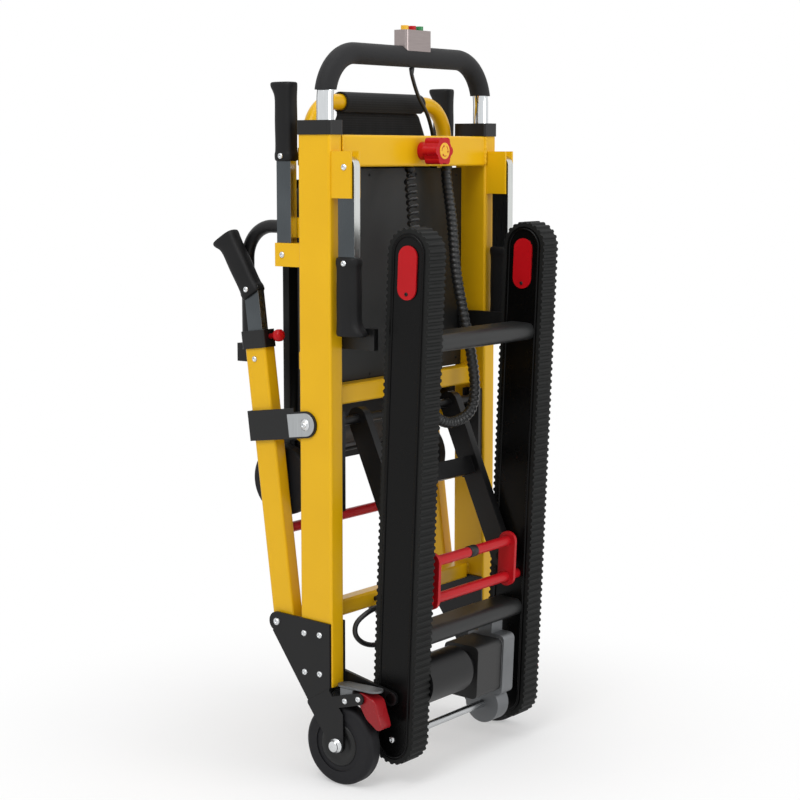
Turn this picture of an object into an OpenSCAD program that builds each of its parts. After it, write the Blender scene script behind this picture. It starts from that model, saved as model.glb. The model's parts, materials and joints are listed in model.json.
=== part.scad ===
// Folded stair climbing wheelchair: two uprights with a push handle, carry handles, folded legs, seat
// and armrests, and a powered pair of rubber tracks that swings out behind.
// Millimetres. +Z is up, +Y is the rear, where the tracks are, and +X is the sitter's left.

/* [Main frame] */
// Width over the outside of the two uprights
frame_w = 432; // [420:1:450]
// Width of an upright's tube, seen from behind
upright_w = 30; // [30:1:34]
// Depth of an upright's tube, front to rear
upright_d = 60; // [58:1:64]
// Height of the uprights' lower ends above the floor
upright_bottom = 148; // [146:1:152]
// Height of the uprights' upper ends above the floor
upright_top = 972; // [960:1:990]
// Wall of the frame's tubes
tube_wall = 2; // [1.5:0.25:2]
// Height of the top cross bar's tube
top_bar_h = 47; // [44:1:50]
// Height of the middle cross bar above the floor
mid_bar_z = 585; // [580:1:590]
// Height of the low cross bar above the floor
low_bar_z = 254; // [252:1:258]
// Diameter of the backrest's bent tube
back_tube_d = 24; // [22:1:24]
// Height of the backrest's tube above the uprights
back_rise = 50; // [45:1:55]

/* [Push handle] */
// Height of the push bar's axis above the uprights
handle_rise = 120; // [110:1:140]
// Bend radius of the push handle
handle_bend = 70; // [60:1:80]
// Length of the handle's legs inside the uprights
handle_insert = 312; // [280:1:330]
// Diameter of the foam grip
grip_d = 32; // [30:1:34]
// Distance from the push bar's axis down to the grip's ends
grip_drop = 55; // [50:1:60]
// Width of the control box
control_w = 66; // [60:1:72]
// Depth of the control box
control_d = 26; // [24:1:28]
// Diameter of a push button
button_d = 12; // [10:1:14]
// Diameter of the emergency stop's head
estop_d = 45; // [40:1:46]

/* [Carry handles] */
// Thickness of a carry handle's bar
carry_bar_t = 14; // [12:1:15]
// Depth of a rear carry handle's bar
rear_bar_d = 30; // [26:1:31]
// Length of a carry handle's rubber grip
carry_grip_l = 117; // [105:1:120]
// Width of a carry handle's grip
carry_grip_w = 27; // [24:1:28]

/* [Leg frame] */
// Height of the leg pivot above the floor
leg_pivot_z = 236; // [234:1:240]
// Distance of the leg pivot in front of the uprights' rear faces
leg_pivot_fwd = 104; // [103:1:108]
// Length of a leg's tube above its pivot
leg_l = 418; // [412:1:424]
// Depth of a leg's tube
leg_d = 40; // [38:1:42]
// Width of a leg's tube
leg_w = 25; // [24:1:25]
// Forward lean of the folded legs, in degrees
leg_lean = 7.3; // [7:0.1:8]
// Diameter of a front wheel
front_wheel_d = 110; // [104:1:110]
// Width of a front wheel
front_wheel_w = 22; // [20:1:24]
// Length of a front wheel's arm
front_arm_l = 181; // [178:1:184]

/* [Seat and armrests] */
// Height of the seat's hinge above the floor
seat_hinge_z = 520; // [518:1:526]
// Length of the seat, front to back when it is open
seat_l = 443; // [420:1:445]
// Thickness of the seat cushion at its crown
cushion_t = 34; // [26:1:34]
// Diameter of the armrest tube
armrest_d = 20; // [18:1:20]

/* [Tracks] */
// Distance between a track's two pulley axes
track_l = 729; // [715:1:735]
// Width of a track
track_w = 40; // [38:1:42]
// Half depth of a track's rail, inside the belt
rail_r = 31; // [29:1:32]
// Thickness of the belt under its ribs
belt_t = 5; // [4:0.5:5]
// Height of the belt's ribs
rib_h = 2.5; // [1.5:0.5:3]
// Height of the drive shaft above the floor
shaft_z = 72; // [70:1:75]
// Backward lean of the folded tracks, in degrees
track_lean = 2.4; // [2:0.1:2.6]
// Diameter of the motor
motor_d = 72; // [66:1:74]

/* [Rear wheels] */
// Diameter of a rear wheel
wheel_d = 125; // [121:1:126]
// Width of a rear wheel
wheel_w = 28; // [26:1:28]

/* [Hidden] */
$fn = 48;

// Clearances and overruns
run_gap = 0.05;
slide_gap = 0.5;
side_gap = 2.5;
skin_gap = 0.3;
cut_over = 1;

// Frame lines: the uprights' rear faces lie at y = 0 before the part is centred
inner_x = frame_w / 2 - upright_w;
outer_x = frame_w / 2;
upright_x = (inner_x + outer_x) / 2;
front_y = -upright_d;
front_reach = 232;
rear_reach = 150.5;
frame_y = (front_reach - rear_reach) / 2;

tube_corner = 4;

// Cross bars
top_bar_d = 40;
cross_bar_d = 25;
mid_bar_h = 30;
low_bar_h = 25;
mid_bar_y = -20;
low_bar_y = -30;
top_bar_z = upright_top - top_bar_h;

// Backrest tube and its cloth
back_r = back_tube_d / 2;
back_inset = 14;
back_x = inner_x - back_inset;
back_y = front_y - back_r - slide_gap;
back_top = upright_top + back_rise;
back_bend = 55;
back_foot_z = 620;
back_cloth_t = 8;
back_sleeve_t = 5;
back_sleeve_x = 100;
back_cloth_foot = 640;
back_cloth_side = 6;
back_tab_z = [635, 940];
back_tab_h = 26;

// Push handle
handle_r = (upright_w - 2 * tube_wall) / 2 - slide_gap;
handle_y = -20;
handle_z = upright_top + handle_rise;
handle_wall = 2;
collar_h = 21;
collar_lip = 2;

// Control box and its buttons
control_x = -13;
control_rise = 40;
control_seat = 6;
control_top = handle_z + control_rise;
control_foot = handle_z + control_seat;
control_corner = 5;
button_step = 19;
button_rise = 7;
button_seat = 8;
button_room = 12;
button_gap = 0.3;

// Emergency stop
estop_x = -13;
estop_z = upright_top - top_bar_h / 2;
estop_neck_r = 14;
estop_neck = 15;
estop_tail = 20;
estop_reach = 42;
estop_lobes = 6;
estop_lobe_share = 0.16;

// Battery case behind the back, with its pack
case_rear = -47;
case_lid_t = 6;
case_depth = 21;
case_front = case_rear - case_depth;
case_half = 150;
case_foot = mid_bar_z + mid_bar_h / 2;
case_gap = 3;
case_top = top_bar_z - case_gap;
case_wall = 3;

// Bottom plates, leg pivots and swing arms
plate_t = 4;
plate_rise = 98;
plate_drop = 25;
plate_r = 15;
plate_edge = 1;
plate_toe_share = 0.72;
plate_heel_share = 0.55;
pivot_r = 7;
swing_arm_t = 6;
swing_arm_w = 22;
swing_gap = 4;
swing_pin_r = 8;

// Carry handles
carry_pin_r = 5;
carry_tab_t = 4;
carry_tab_gap = 0.5;
rear_pivot = [24, 925];
rear_clevis_d = 36;
rear_clevis_z = [880, 948];
rear_clevis_web = 3;
rear_bar_foot = 792;
rear_grip_d = 40;
rear_grip_top = 795;
front_pivot_fwd = 34;
front_pivot = [front_y - front_pivot_fwd, 795];
front_tab_h = 35;
front_tab_reach = 48;
front_bar_d = 27;
front_bar_top = 950;
front_grip_foot = 933;
front_grip_d = 34;
flange_t = 12;
flange_out = 8;
grip_corner = 9;

// Legs in their own frame: local y across the leg, local z along it from the pivot
leg_pivot = [-leg_pivot_fwd, leg_pivot_z];
leg_front = -12;
leg_foot = -26;
leg_mid = leg_front + leg_d / 2;
leg_cap_h = 27;
leg_cap_lip = 3;
leg_bar_d = 28;
leg_bar_insert = 168;
leg_bar_show = 94;
leg_bar_tail = leg_l - leg_bar_insert;
leg_bar_top = leg_l + leg_bar_show;
leg_grip_tilt = 24;
leg_grip_l = 106;
leg_grip_d = 36;
foot_bar_r = 8;
strap_t = 3;
clasp_r = 20;
strap_h = 46;
clasp_drop = 120;
clasp_at = [97, leg_l - clasp_drop];
strap_up = [clasp_at[1] - clasp_r, clasp_at[1] - clasp_r + strap_h];
clasp_boss_r = 7;
clasp_boss_h = 4;

// Front wheels on folding arms, inboard of the legs
front_arm_t = 4.5;
front_arm_w = 26;
front_arm_y = 4;
front_pivot_drop = 25;
front_hub_up = leg_l - front_pivot_drop - front_arm_l;
foot_bar_drop = 74;
foot_bar_up = front_hub_up - foot_bar_drop;
front_axle_r = 6;
front_rim_share = 0.72;
front_tread_r = 5;
leg_inner = upright_x - leg_w / 2;
arm_gap = 1;
arm_outer = leg_inner - arm_gap;
arm_inner = arm_outer - front_arm_t;
front_wheel_out = arm_inner - arm_gap;
front_wheel_in = front_wheel_out - front_wheel_w;

// Seat
seat_gap = 3;
seat_half = front_wheel_in - seat_gap;
seat_front = -140;
seat_board_t = 12;
seat_hinge_y = -100;
seat_foot_drop = 58;
seat_foot = seat_hinge_z - seat_foot_drop;
seat_lug_t = 6;
seat_lug_r = 14;
seat_pin_r = 5;
seat_bracket_t = 5;
cushion_gap = 2;
cushion_half = seat_half - seat_lug_t - cushion_gap;
cushion_edge_share = 0.45;
cushion_draw = 7;
cushion_cells = [12, 16];

// Armrests
armrest_r = armrest_d / 2;
armrest_inset = 14;
armrest_x = inner_x - armrest_inset;
armrest_pivot = [-100, 835];
armrest_out = 47;
armrest_bend = 50;
armrest_drop = 131;
armrest_eye_r = 14;
armrest_eye_lip = 2;
armrest_eye_half = armrest_r + armrest_eye_lip;
armrest_pin_r = 5;
armrest_block = [20, 30, 28];
armrest_lug_t = 6;
armrest_lug_h = 30;
armrest_lug_over = 12;

// Tracks in their own frame: local y across the track, local z along it from the drive shaft
track_out = inner_x - plate_t - swing_arm_t - swing_gap;
track_in = track_out - track_w;
shaft_y = 80;
belt_r = rail_r + belt_t;
rib_pitch = 10;
rib_flank_share = 0.2;
rib_crown_share = 0.3;
track_loop = 2 * track_l + 2 * PI * belt_r;
rib_count = floor(track_loop / rib_pitch);
cheek_t = 10;
shaft_r = 6;
shaft_tail = 4;
pulley_gap = 0.3;
cover_t = 3;
cover_w = 33;
cover_h = 79;
cover_drop = 27;
cover_up = track_l - cover_drop;
oval_bar_d = 55;
oval_bar_h = 27;
oval_bar_drop = 133;
oval_bar_up = [150, track_l - oval_bar_drop];
swing_at = [1, 66];
motor_at = [7, 80];
motor_span = [25, 131];
motor_neck_share = 0.6;
gear_cover_x = [-67, 0];
gear_cover_y = [-30, 34];
gear_cover_z = [28, 112];
gear_house_x = [-97, -67];
gear_house_y = [-32, 37];
gear_house_z = [20, 118];
gear_house_r = 31;
gear_corner = 9;
gear_lug_w = 26;

// Folding strut between the tracks and the uprights
strut_t = 15;
strut_w = 35;
strut_gap = 4.5;
strut_at = [-7, 233];
strut_top = [-20, 545];
strut_pin_r = 8;
strut_cross_share = 0.59;
strut_cross_w = 28;
strut_rod_r = 7;
strut_out = track_in - strut_gap;
guide_depth = 10;
guide_web = 3;
guide_wall = 4;
guide_room = 12;
guide_z = [412, 562];

// Release loop for the tracks' lock
release_at = [13, 205];
release_rise = 58;
release_r = 8;
release_plate_t = 6;
release_plate_w = 30;
release_half = 106;
release_seat = 6;

// Rests that the folded tracks lean against
rest_z = [658, 690];
rest_y = [-45, 58];
rest_t = 10;

// Rear wheels in fixed forks with brake pedals
wheel_out = 2;
wheel_x = upright_x + wheel_out;
axle = [12, wheel_d / 2];
fork_t = 3;
fork_gap = 1.5;
fork_boss_r = 13;
fork_tail = [54, 141];
fork_tail_w = 18;
fork_plate_t = 4;
axle_r = 6;
nut_r = 9;
nut_h = 8;
tread_r = 8;
rim_share = 0.66;
rim_step = 2;
pedal_pin_r = 4;
pedal_w = 26;
pedal_fan = [[-8, -3], [-8, 3], [-3, 8], [4, 8], [26, -2], [38, -36], [30, -44], [10, -30]];
guard_t = 3;
guard_w = 26;
guard_y = [18, 84];
guard_z = 152;
guard_drop = 14;

// Cords: route points, chosen by hand, and their sizes
handle_cable_r = 3;
handle_cable_lead = 10;
handle_cable_top = handle_z - grip_d / 2 - skin_gap;
handle_cable_route = [[-12, handle_y, handle_cable_top],
    [-12, handle_y, handle_cable_top - handle_cable_lead], [-42, -30, 1035], [-89, -45, 1004],
    [-116, -54, 970], [-122, -57, 940], [-122, -57, case_top]];
wrap_cable_r = 9;
wrap_valley = 1.5;
wrap_cable_route = [[-106, -20, top_bar_z], [-106, -20, 905], [-112, -14, 840], [-110, -4, 760],
    [-113, 8, 695], [-123, 17, 628], [-127, 22, 570], [-110, 24, 534], [-66, 24, 522], [-25, 26, 530],
    [4, 26, 552], [18, 16, 578], [18, -5, mid_bar_z], [18, mid_bar_y, mid_bar_z]];
wrap_steps = 8;
loop_cable_r = 4;
loop_cable_route = [[70, low_bar_y, low_bar_z], [72, -14, 256], [98, 18, 262], [130, 27, 262], [155, 22, 256],
    [170, 12, 241], [171, 10, 223], [158, 14, 208], [136, 20, 201], [106, 20, 204], [80, 4, 214],
    [62, -30, 230], [60, -42, low_bar_z - low_bar_h / 2]];
curl_r = 7.5;
curl_wire_r = 2.5;
curl_steps = 36;
curl_lead = 4;
curl_start = [0, -15, top_bar_z];
curl_lead_in = [2, 2, -19];
curl_shares = [0.3, 0.62];
curl_sag = [[-27, -22, 4], [-48, -41, 5]];
curl_ease = [-48, -47, 9];
curl_tail = [-15, -8, 2];
curl_over = -85;
cord_sides = 8;
curl_sides = 6;
curl_rings = 8;

yellow = "#f2b81b";
black = "#222224";
grey = "#4a4b4e";
steel = "#b9bcc0";
red = "#cf1f24";

// Placing helpers

// Centres the part: children are drawn from the uprights' rear faces
module on_frame() {
    translate([0, frame_y, 0]) children();
}

// The sitter's left side is drawn, and the right side is its mirror image
module on_side(s) {
    on_frame() mirror([s < 0 ? 1 : 0, 0, 0]) children();
}

module on_both() {
    on_side(1) children();
    on_side(-1) children();
}

module at_leg() {
    translate([0, leg_pivot[0], leg_pivot[1]]) rotate([leg_lean, 0, 0]) children();
}

module at_track() {
    translate([0, shaft_y, shaft_z]) rotate([-track_lean, 0, 0]) children();
}

// Where a point of the track's own frame lies in the frame, as [y, z]
function track_point(p) = [
    shaft_y + p[0] * cos(track_lean) + p[1] * sin(track_lean),
    shaft_z - p[0] * sin(track_lean) + p[1] * cos(track_lean)];

// Shape helpers

// A box between low and high values on each axis
module block(x, y, z) {
    translate([x[0], y[0], z[0]]) cube([x[1] - x[0], y[1] - y[0], z[1] - z[0]]);
}

// A round bar along X, at p = [y, z]
module rod_x(x, p, r) {
    translate([x[0], p[0], p[1]]) rotate([0, 90, 0]) cylinder(r = r, h = x[1] - x[0]);
}

// A flat outline in y and z, made as thick as the span x
module plate_x(x) {
    translate([x[0], 0, 0]) rotate([90, 0, 90]) linear_extrude(x[1] - x[0]) children();
}

// A strip with round ends from p to q
module link_outline(p, q, w) {
    translate(p) circle(d = w);
    translate(q) circle(d = w);
    translate(p) rotate(atan2(q[1] - p[1], q[0] - p[0])) translate([0, -w / 2]) square([norm(q - p), w]);
}

// A rectangle with round corners between two corners
module round_rectangle(low, high, r) {
    translate([low[0] + r, low[1]]) square([high[0] - low[0] - 2 * r, high[1] - low[1]]);
    translate([low[0], low[1] + r]) square([high[0] - low[0], high[1] - low[1] - 2 * r]);
    for (x = [low[0] + r, high[0] - r], y = [low[1] + r, high[1] - r]) translate([x, y]) circle(r);
}

// A box whose upright edges are round
module round_block(x, y, z, r) {
    translate([0, 0, z[0]]) linear_extrude(z[1] - z[0]) round_rectangle([x[0], y[0]], [x[1], y[1]], r);
}

// A rectangular tube along Z
module box_tube(x, y, z, wall) {
    difference() {
        round_block(x, y, z, tube_corner);
        block([x[0] + wall, x[1] - wall], [y[0] + wall, y[1] - wall], [z[0] - cut_over, z[1] + cut_over]);
    }
}

// A rectangular tube along X
module bar_tube(half, y, z, wall) {
    difference() {
        plate_x([-half, half]) round_rectangle([y[0], z[0]], [y[1], z[1]], tube_corner);
        block([-half - cut_over, half + cut_over], [y[0] + wall, y[1] - wall], [z[0] + wall, z[1] - wall]);
    }
}

// An upside-down U of round bar: two legs, two bends and a top
module arch(half, y, foot, top, bend, r) {
    for (s = [0, 1]) mirror([s, 0, 0]) {
        translate([half, y, foot]) cylinder(r = r, h = top - bend - foot);
        translate([half - bend, y, top - bend]) rotate([90, 0, 0])
            rotate_extrude(angle = 90) translate([bend, 0]) circle(r);
    }
    rod_x([-(half - bend), half - bend], [y, top], r);
}

// A hand grip along Z with round long edges and a lip on one side of its free end
module rubber_grip(d, l) {
    half = carry_grip_w / 2;
    round_block([-half, half], [-d / 2, d / 2], [0, l], grip_corner);
    round_block([-half, half], [-d / 2 - flange_out, d / 2], [l - flange_t, l], grip_corner);
}

// A wheel along X with a rounded tread, a stepped face and a bore
module wheel(x, r, tread, rim, bore) {
    half = (x[1] - x[0]) / 2;
    translate([(x[0] + x[1]) / 2, 0, 0]) rotate([0, 90, 0]) rotate_extrude() {
        translate([bore, -half + rim_step]) square([rim - bore, 2 * half - 2 * rim_step]);
        translate([rim, -half]) square([r - tread - rim, 2 * half]);
        translate([rim, -half + tread]) square([r - rim, 2 * half - 2 * tread]);
        for (s = [-1, 1]) translate([r - tread, s * (half - tread)]) circle(tread);
    }
}

// Cord helpers: a smooth route through points, and a tube of rings along it

function blend_point(a, b, c, d, t) = 0.5 * (2 * b + (c - a) * t + (2 * a - 5 * b + 4 * c - d) * t * t
    + (3 * b - a - 3 * c + d) * t * t * t);

function smooth_route(p, steps) = [
    for (i = [0 : len(p) - 2], k = [0 : steps - 1])
        blend_point(p[max(i - 1, 0)], p[i], p[i + 1], p[min(i + 2, len(p) - 1)], k / steps),
    p[len(p) - 1]];

function unit(v) = v / norm(v);

// Directions along a route, with those of its two ends given
function headings(p, first, last) = [for (i = [0 : len(p) - 1])
    i == 0 ? first : i == len(p) - 1 ? last : unit(p[i + 1] - p[i - 1])];

// A side direction for each ring, carried along the route without twisting
function side_ways(h, i = 0, made = []) = i == len(h) ? made :
    let (last = i == 0 ? (abs(h[0][0]) < 0.9 ? [1, 0, 0] : [0, 1, 0]) : made[i - 1])
    side_ways(h, i + 1, concat(made, [unit(last - (last * h[i]) * h[i])]));

// A closed tube along p, with radius r[i] at point i
module cord_tube(p, r, sides, first, last) {
    h = headings(p, first, last);
    a = side_ways(h);
    rings = len(p);
    points = [for (i = [0 : rings - 1], k = [0 : sides - 1])
        let (turn = 360 * k / sides)
        p[i] + r[i] * (cos(turn) * a[i] + sin(turn) * cross(h[i], a[i]))];
    walls = [for (i = [0 : rings - 2], k = [0 : sides - 1])
        let (b = i * sides + k, c = i * sides + (k + 1) % sides)
        each [[b, b + sides, c], [c, b + sides, c + sides]]];
    ends = [for (k = [1 : sides - 2])
        each [[0, k, k + 1], [(rings - 1) * sides, (rings - 1) * sides + k + 1, (rings - 1) * sides + k]]];
    polyhedron(points = points, faces = concat(walls, ends));
}

// The curly cord's way from the top bar to the track's inner face
curl_end = concat([track_in - skin_gap], track_point([0, track_l + curl_over]));
curl_route = concat([curl_start, curl_start + curl_lead_in],
    [for (k = [0, 1]) curl_start + curl_shares[k] * (curl_end - curl_start) + curl_sag[k]],
    [curl_end + curl_ease, curl_end + curl_tail, curl_end]);

// The curly cord's own line: curls that start and end on the route
function curl_line(route, first, last) =
    let (h = headings(route, first, last), a = side_ways(h), n = len(route) - 1)
    [for (i = [0 : n])
        let (turn = 360 * i / curl_rings, ends = max(0, min(i, n - i) - curl_lead),
            r = curl_r * min(1, ends / curl_rings))
        route[i] + r * (cos(turn) * a[i] + sin(turn) * cross(h[i], a[i]))];

function least_gap(p, apart) = min([for (i = [0 : len(p) - 1 - apart], j = [i + apart : len(p) - 1])
    norm(p[i] - p[j])]);

// Outlines along a track

module track_outline(r) {
    link_outline([0, 0], [0, track_l], 2 * r);
}

// The point at distance s round the belt, lifted by h from its outer face
function belt_point(s, h) = let (r = belt_r + h, arc = PI * belt_r)
    s < track_l ? [r, s] :
    s < track_l + arc ? let (turn = 180 * (s - track_l) / arc) [r * cos(turn), track_l + r * sin(turn)] :
    s < 2 * track_l + arc ? [-r, 2 * track_l + arc - s] :
    let (turn = 180 + 180 * (s - 2 * track_l - arc) / arc) [r * cos(turn), r * sin(turn)];

// Main frame

module uprights() color(yellow) on_both() {
    box_tube([inner_x, outer_x], [front_y, 0], [upright_bottom, upright_top], tube_wall);
}

module frame_crossbars() color(yellow) on_frame() {
    difference() {
        bar_tube(inner_x, [-top_bar_d, 0], [top_bar_z, upright_top], tube_wall);
        translate([estop_x, cut_over, estop_z]) rotate([90, 0, 0])
            cylinder(r = estop_neck_r + run_gap, h = top_bar_d / 2);
    }
    bar_tube(inner_x, [mid_bar_y - cross_bar_d, mid_bar_y],
        [mid_bar_z - mid_bar_h / 2, mid_bar_z + mid_bar_h / 2], tube_wall);
    bar_tube(inner_x, [low_bar_y - cross_bar_d, low_bar_y],
        [low_bar_z - low_bar_h / 2, low_bar_z + low_bar_h / 2], tube_wall);
}

module back_tube() color(yellow) on_frame() difference() {
    arch(back_x, back_y, back_foot_z, back_top, back_bend, back_r);
    arch(back_x, back_y, back_foot_z - cut_over, back_top, back_bend, back_r - tube_wall);
}

module upright_collars() color(black) on_both() difference() {
    round_block([inner_x - collar_lip, outer_x + collar_lip], [front_y - collar_lip, collar_lip],
        [upright_top, upright_top + collar_h], tube_corner + collar_lip);
    translate([upright_x, handle_y, upright_top - cut_over])
        cylinder(r = handle_r + run_gap, h = collar_h + 2 * cut_over);
}

module battery_case() color(grey) on_frame() difference() {
    union() {
        block([-inner_x, inner_x], [case_rear - case_lid_t, case_rear], [case_foot, case_top]);
        block([-case_half, case_half], [case_front, case_rear - case_lid_t], [case_foot, case_top]);
    }
    block([-case_half + case_wall, case_half - case_wall], [case_front + case_wall, case_rear - case_wall],
        [case_foot + case_wall, case_top - case_wall]);
}

module battery_pack() color("#2f5f3a") on_frame() {
    block([-case_half + 2 * case_wall, case_half - 2 * case_wall],
        [case_front + case_wall + skin_gap, case_rear - case_wall - skin_gap],
        [case_foot + case_wall, case_top - 2 * case_wall]);
}

// Cloth that hangs from a sleeve round the top of the bent tube
module backrest() color(black) on_frame() difference() {
    union() {
        rod_x([-back_sleeve_x, back_sleeve_x], [back_y, back_top], back_r + back_sleeve_t);
        translate([0, back_y + back_cloth_t / 2, 0]) rotate([90, 0, 0]) linear_extrude(back_cloth_t)
            polygon([[-back_sleeve_x, back_top], [back_sleeve_x, back_top],
                [back_x - back_r - back_cloth_side, back_top - 2 * back_bend],
                [back_x - back_r - back_cloth_side, back_cloth_foot],
                [-(back_x - back_r - back_cloth_side), back_cloth_foot],
                [-(back_x - back_r - back_cloth_side), back_top - 2 * back_bend]]);
    }
    rod_x([back_bend - back_x, back_x - back_bend], [back_y, back_top], back_r + run_gap);
}

module bottom_plate_outline() {
    translate(leg_pivot) circle(plate_r);
    polygon([
        [leg_pivot[0], leg_pivot[1] + plate_r],
        [-plate_edge, upright_bottom + plate_rise],
        [-plate_edge, upright_bottom],
        [front_y * plate_toe_share, upright_bottom - plate_drop],
        [leg_pivot[0] - plate_r * plate_heel_share, leg_pivot[1] - plate_r]]);
}

// Plates that clamp each upright's foot and hold the leg's pin, and the arms that carry the tracks
module bottom_plates() color(black) on_both() {
    swing = track_point(swing_at);
    arm_x = [inner_x - plate_t - swing_arm_t, inner_x - plate_t];
    plate_x([outer_x, outer_x + plate_t]) bottom_plate_outline();
    plate_x([inner_x - plate_t, inner_x]) difference() {
        bottom_plate_outline();
        translate([low_bar_y - cross_bar_d, low_bar_z - low_bar_h / 2]) square([cross_bar_d, plate_rise]);
    }
    rod_x([inner_x, outer_x], leg_pivot, pivot_r);
    difference() {
        plate_x(arm_x) link_outline([-upright_d / 4, upright_bottom + swing_arm_w / 2], swing, swing_arm_w);
        rod_x([arm_x[0] - cut_over, arm_x[1] + cut_over], swing, swing_pin_r + run_gap);
    }
}

// Clevises and tabs for the carry handles, and brackets for the back tube, seat and armrests
module frame_brackets() color(yellow) on_both() {
    half = carry_bar_t / 2 + carry_tab_gap;
    for (s = [-1, 1]) {
        x = upright_x + s * (half + carry_tab_t / 2);
        plate_x([x - carry_tab_t / 2, x + carry_tab_t / 2])
            translate([0, rear_clevis_z[0]]) square([rear_clevis_d, rear_clevis_z[1] - rear_clevis_z[0]]);
        plate_x([x - carry_tab_t / 2, x + carry_tab_t / 2]) translate([front_y - front_tab_reach,
            front_pivot[1] - front_tab_h / 2]) square([front_tab_reach, front_tab_h]);
    }
    block([upright_x - half, upright_x + half], [0, rear_clevis_web], rear_clevis_z);
    rod_x([upright_x - half, upright_x + half], rear_pivot, carry_pin_r);
    rod_x([upright_x - half, upright_x + half], front_pivot, carry_pin_r);
    for (z = back_tab_z) block([back_x + back_r, inner_x],
        [back_y - back_r, case_rear - case_lid_t], [z - back_tab_h / 2, z + back_tab_h / 2]);
    seat_bracket();
    armrest_bracket();
}

module seat_bracket() {
    low = seat_hinge_z - seat_lug_r;
    high = seat_hinge_z + seat_lug_r;
    x = seat_half + skin_gap;
    block([x, upright_x], [front_y - seat_bracket_t, front_y], [low, high]);
    plate_x([x, x + seat_bracket_t]) {
        translate([seat_hinge_y, seat_hinge_z]) circle(seat_lug_r);
        translate([seat_hinge_y, low]) square([front_y - seat_hinge_y, high - low]);
    }
    rod_x([x - seat_lug_t, x], [seat_hinge_y, seat_hinge_z], seat_pin_r);
}

module armrest_bracket() {
    low = armrest_pivot[1] - armrest_lug_h / 2;
    plate_x([inner_x, inner_x + armrest_lug_t]) translate([armrest_pivot[0] - armrest_lug_over, low])
        square([front_y - armrest_pivot[0] + armrest_lug_over, armrest_lug_h]);
    rod_x([armrest_x - armrest_eye_half, inner_x], armrest_pivot, armrest_pin_r);
}

// Channels that lead the folding strut's rod, and rests for the folded tracks
module track_guides() color(black) on_both() {
    half = guide_room + guide_wall;
    difference() {
        block([inner_x - guide_depth, inner_x], [strut_top[0] - half, strut_top[0] + half], guide_z);
        block([inner_x - guide_depth - cut_over, inner_x - guide_web],
            [strut_top[0] - guide_room, strut_top[0] + guide_room],
            [guide_z[0] - cut_over, guide_z[1] + cut_over]);
    }
    block([inner_x - rest_t, inner_x], rest_y, rest_z);
}

// Two cheeks and a sloping head plate under each upright, with the axle and its nuts
module wheel_forks() color(black) on_both() {
    half = wheel_w / 2 + fork_gap;
    toe = [front_y * plate_toe_share, upright_bottom - plate_drop - fork_plate_t];
    heel = [-plate_edge, upright_bottom - fork_plate_t];
    for (s = [-1, 1]) {
        x = wheel_x + s * (half + fork_t / 2);
        plate_x([x - fork_t / 2, x + fork_t / 2]) {
            translate(axle) circle(fork_boss_r);
            polygon([toe, heel, [axle[0] + fork_boss_r, axle[1] + wheel_d / 2 - fork_boss_r],
                [axle[0] + fork_boss_r, axle[1]], [axle[0] - fork_boss_r, axle[1]]]);
            link_outline([heel[0], heel[1] - fork_tail_w], fork_tail, fork_tail_w);
        }
        rod_x([wheel_x + s * (half + fork_t) - (s < 0 ? nut_h : 0), wheel_x + s * (half + fork_t)
            + (s < 0 ? 0 : nut_h)], axle, nut_r);
    }
    plate_x([wheel_x - half - fork_t, wheel_x + half + fork_t]) polygon([toe, heel,
        [heel[0], heel[1] + fork_plate_t], [toe[0], toe[1] + fork_plate_t]]);
    rod_x([wheel_x - half, wheel_x + half], axle, axle_r);
    rod_x([wheel_x - half, wheel_x + half], fork_tail, pedal_pin_r);
}

module brake_guards() color("#7d7f83") on_both() {
    half = wheel_w / 2 + fork_gap;
    translate([wheel_x, 0, guard_z]) linear_extrude(guard_t)
        link_outline([0, guard_y[0]], [0, guard_y[1] - guard_w / 2], guard_w);
    block([wheel_x - half, wheel_x + half], [guard_y[0], fork_tail[0] - guard_w / 2],
        [guard_z - guard_drop, guard_z]);
}

// Cords

module handle_cable() color(black) on_frame() {
    route = smooth_route(handle_cable_route, 3);
    cord_tube(route, [for (p = route) handle_cable_r], cord_sides, [0, 0, -1], [0, 0, -1]);
}

// A spiral wrapped lead behind the back, and the motor lead's loop beside the upright
module frame_cables() color(black) on_frame() {
    wrap = smooth_route(wrap_cable_route, wrap_steps);
    last = len(wrap) - 1;
    cord_tube(wrap, [for (i = [0 : last])
        i < 2 || i > last - 2 || i % 2 == 0 ? wrap_cable_r : wrap_cable_r - wrap_valley],
        cord_sides, [0, 0, -1], [0, -1, 0]);
    loop = smooth_route(loop_cable_route, 3);
    cord_tube(loop, [for (p = loop) loop_cable_r], cord_sides, [0, 1, 0], [0, 0, 1]);
}

module curly_cord() color(black) on_frame() {
    line = curl_line(smooth_route(curl_route, curl_steps), [0, 0, -1], [1, 0, 0]);
    echo(curly_cord_least_gap = least_gap(line, curl_rings / 2) - 2 * curl_wire_r);
    cord_tube(line, [for (p = line) curl_wire_r], curl_sides, [0, 0, -1], [1, 0, 0]);
}

// Push handle

module handle_tube() color(steel) on_frame() difference() {
    arch(upright_x, handle_y, upright_top - handle_insert, handle_z, handle_bend, handle_r);
    arch(upright_x, handle_y, upright_top - handle_insert - cut_over, handle_z, handle_bend,
        handle_r - handle_wall);
}

module handle_grip() color(black) on_frame() difference() {
    arch(upright_x, handle_y, handle_z - grip_drop - handle_bend / 2, handle_z, handle_bend, grip_d / 2);
    arch(upright_x, handle_y, handle_z - grip_drop - handle_bend, handle_z, handle_bend, handle_r + run_gap);
    block([-outer_x - grip_d, outer_x + grip_d], [handle_y - grip_d, handle_y + grip_d],
        [handle_z - grip_drop - handle_bend, handle_z - grip_drop]);
}

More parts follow.
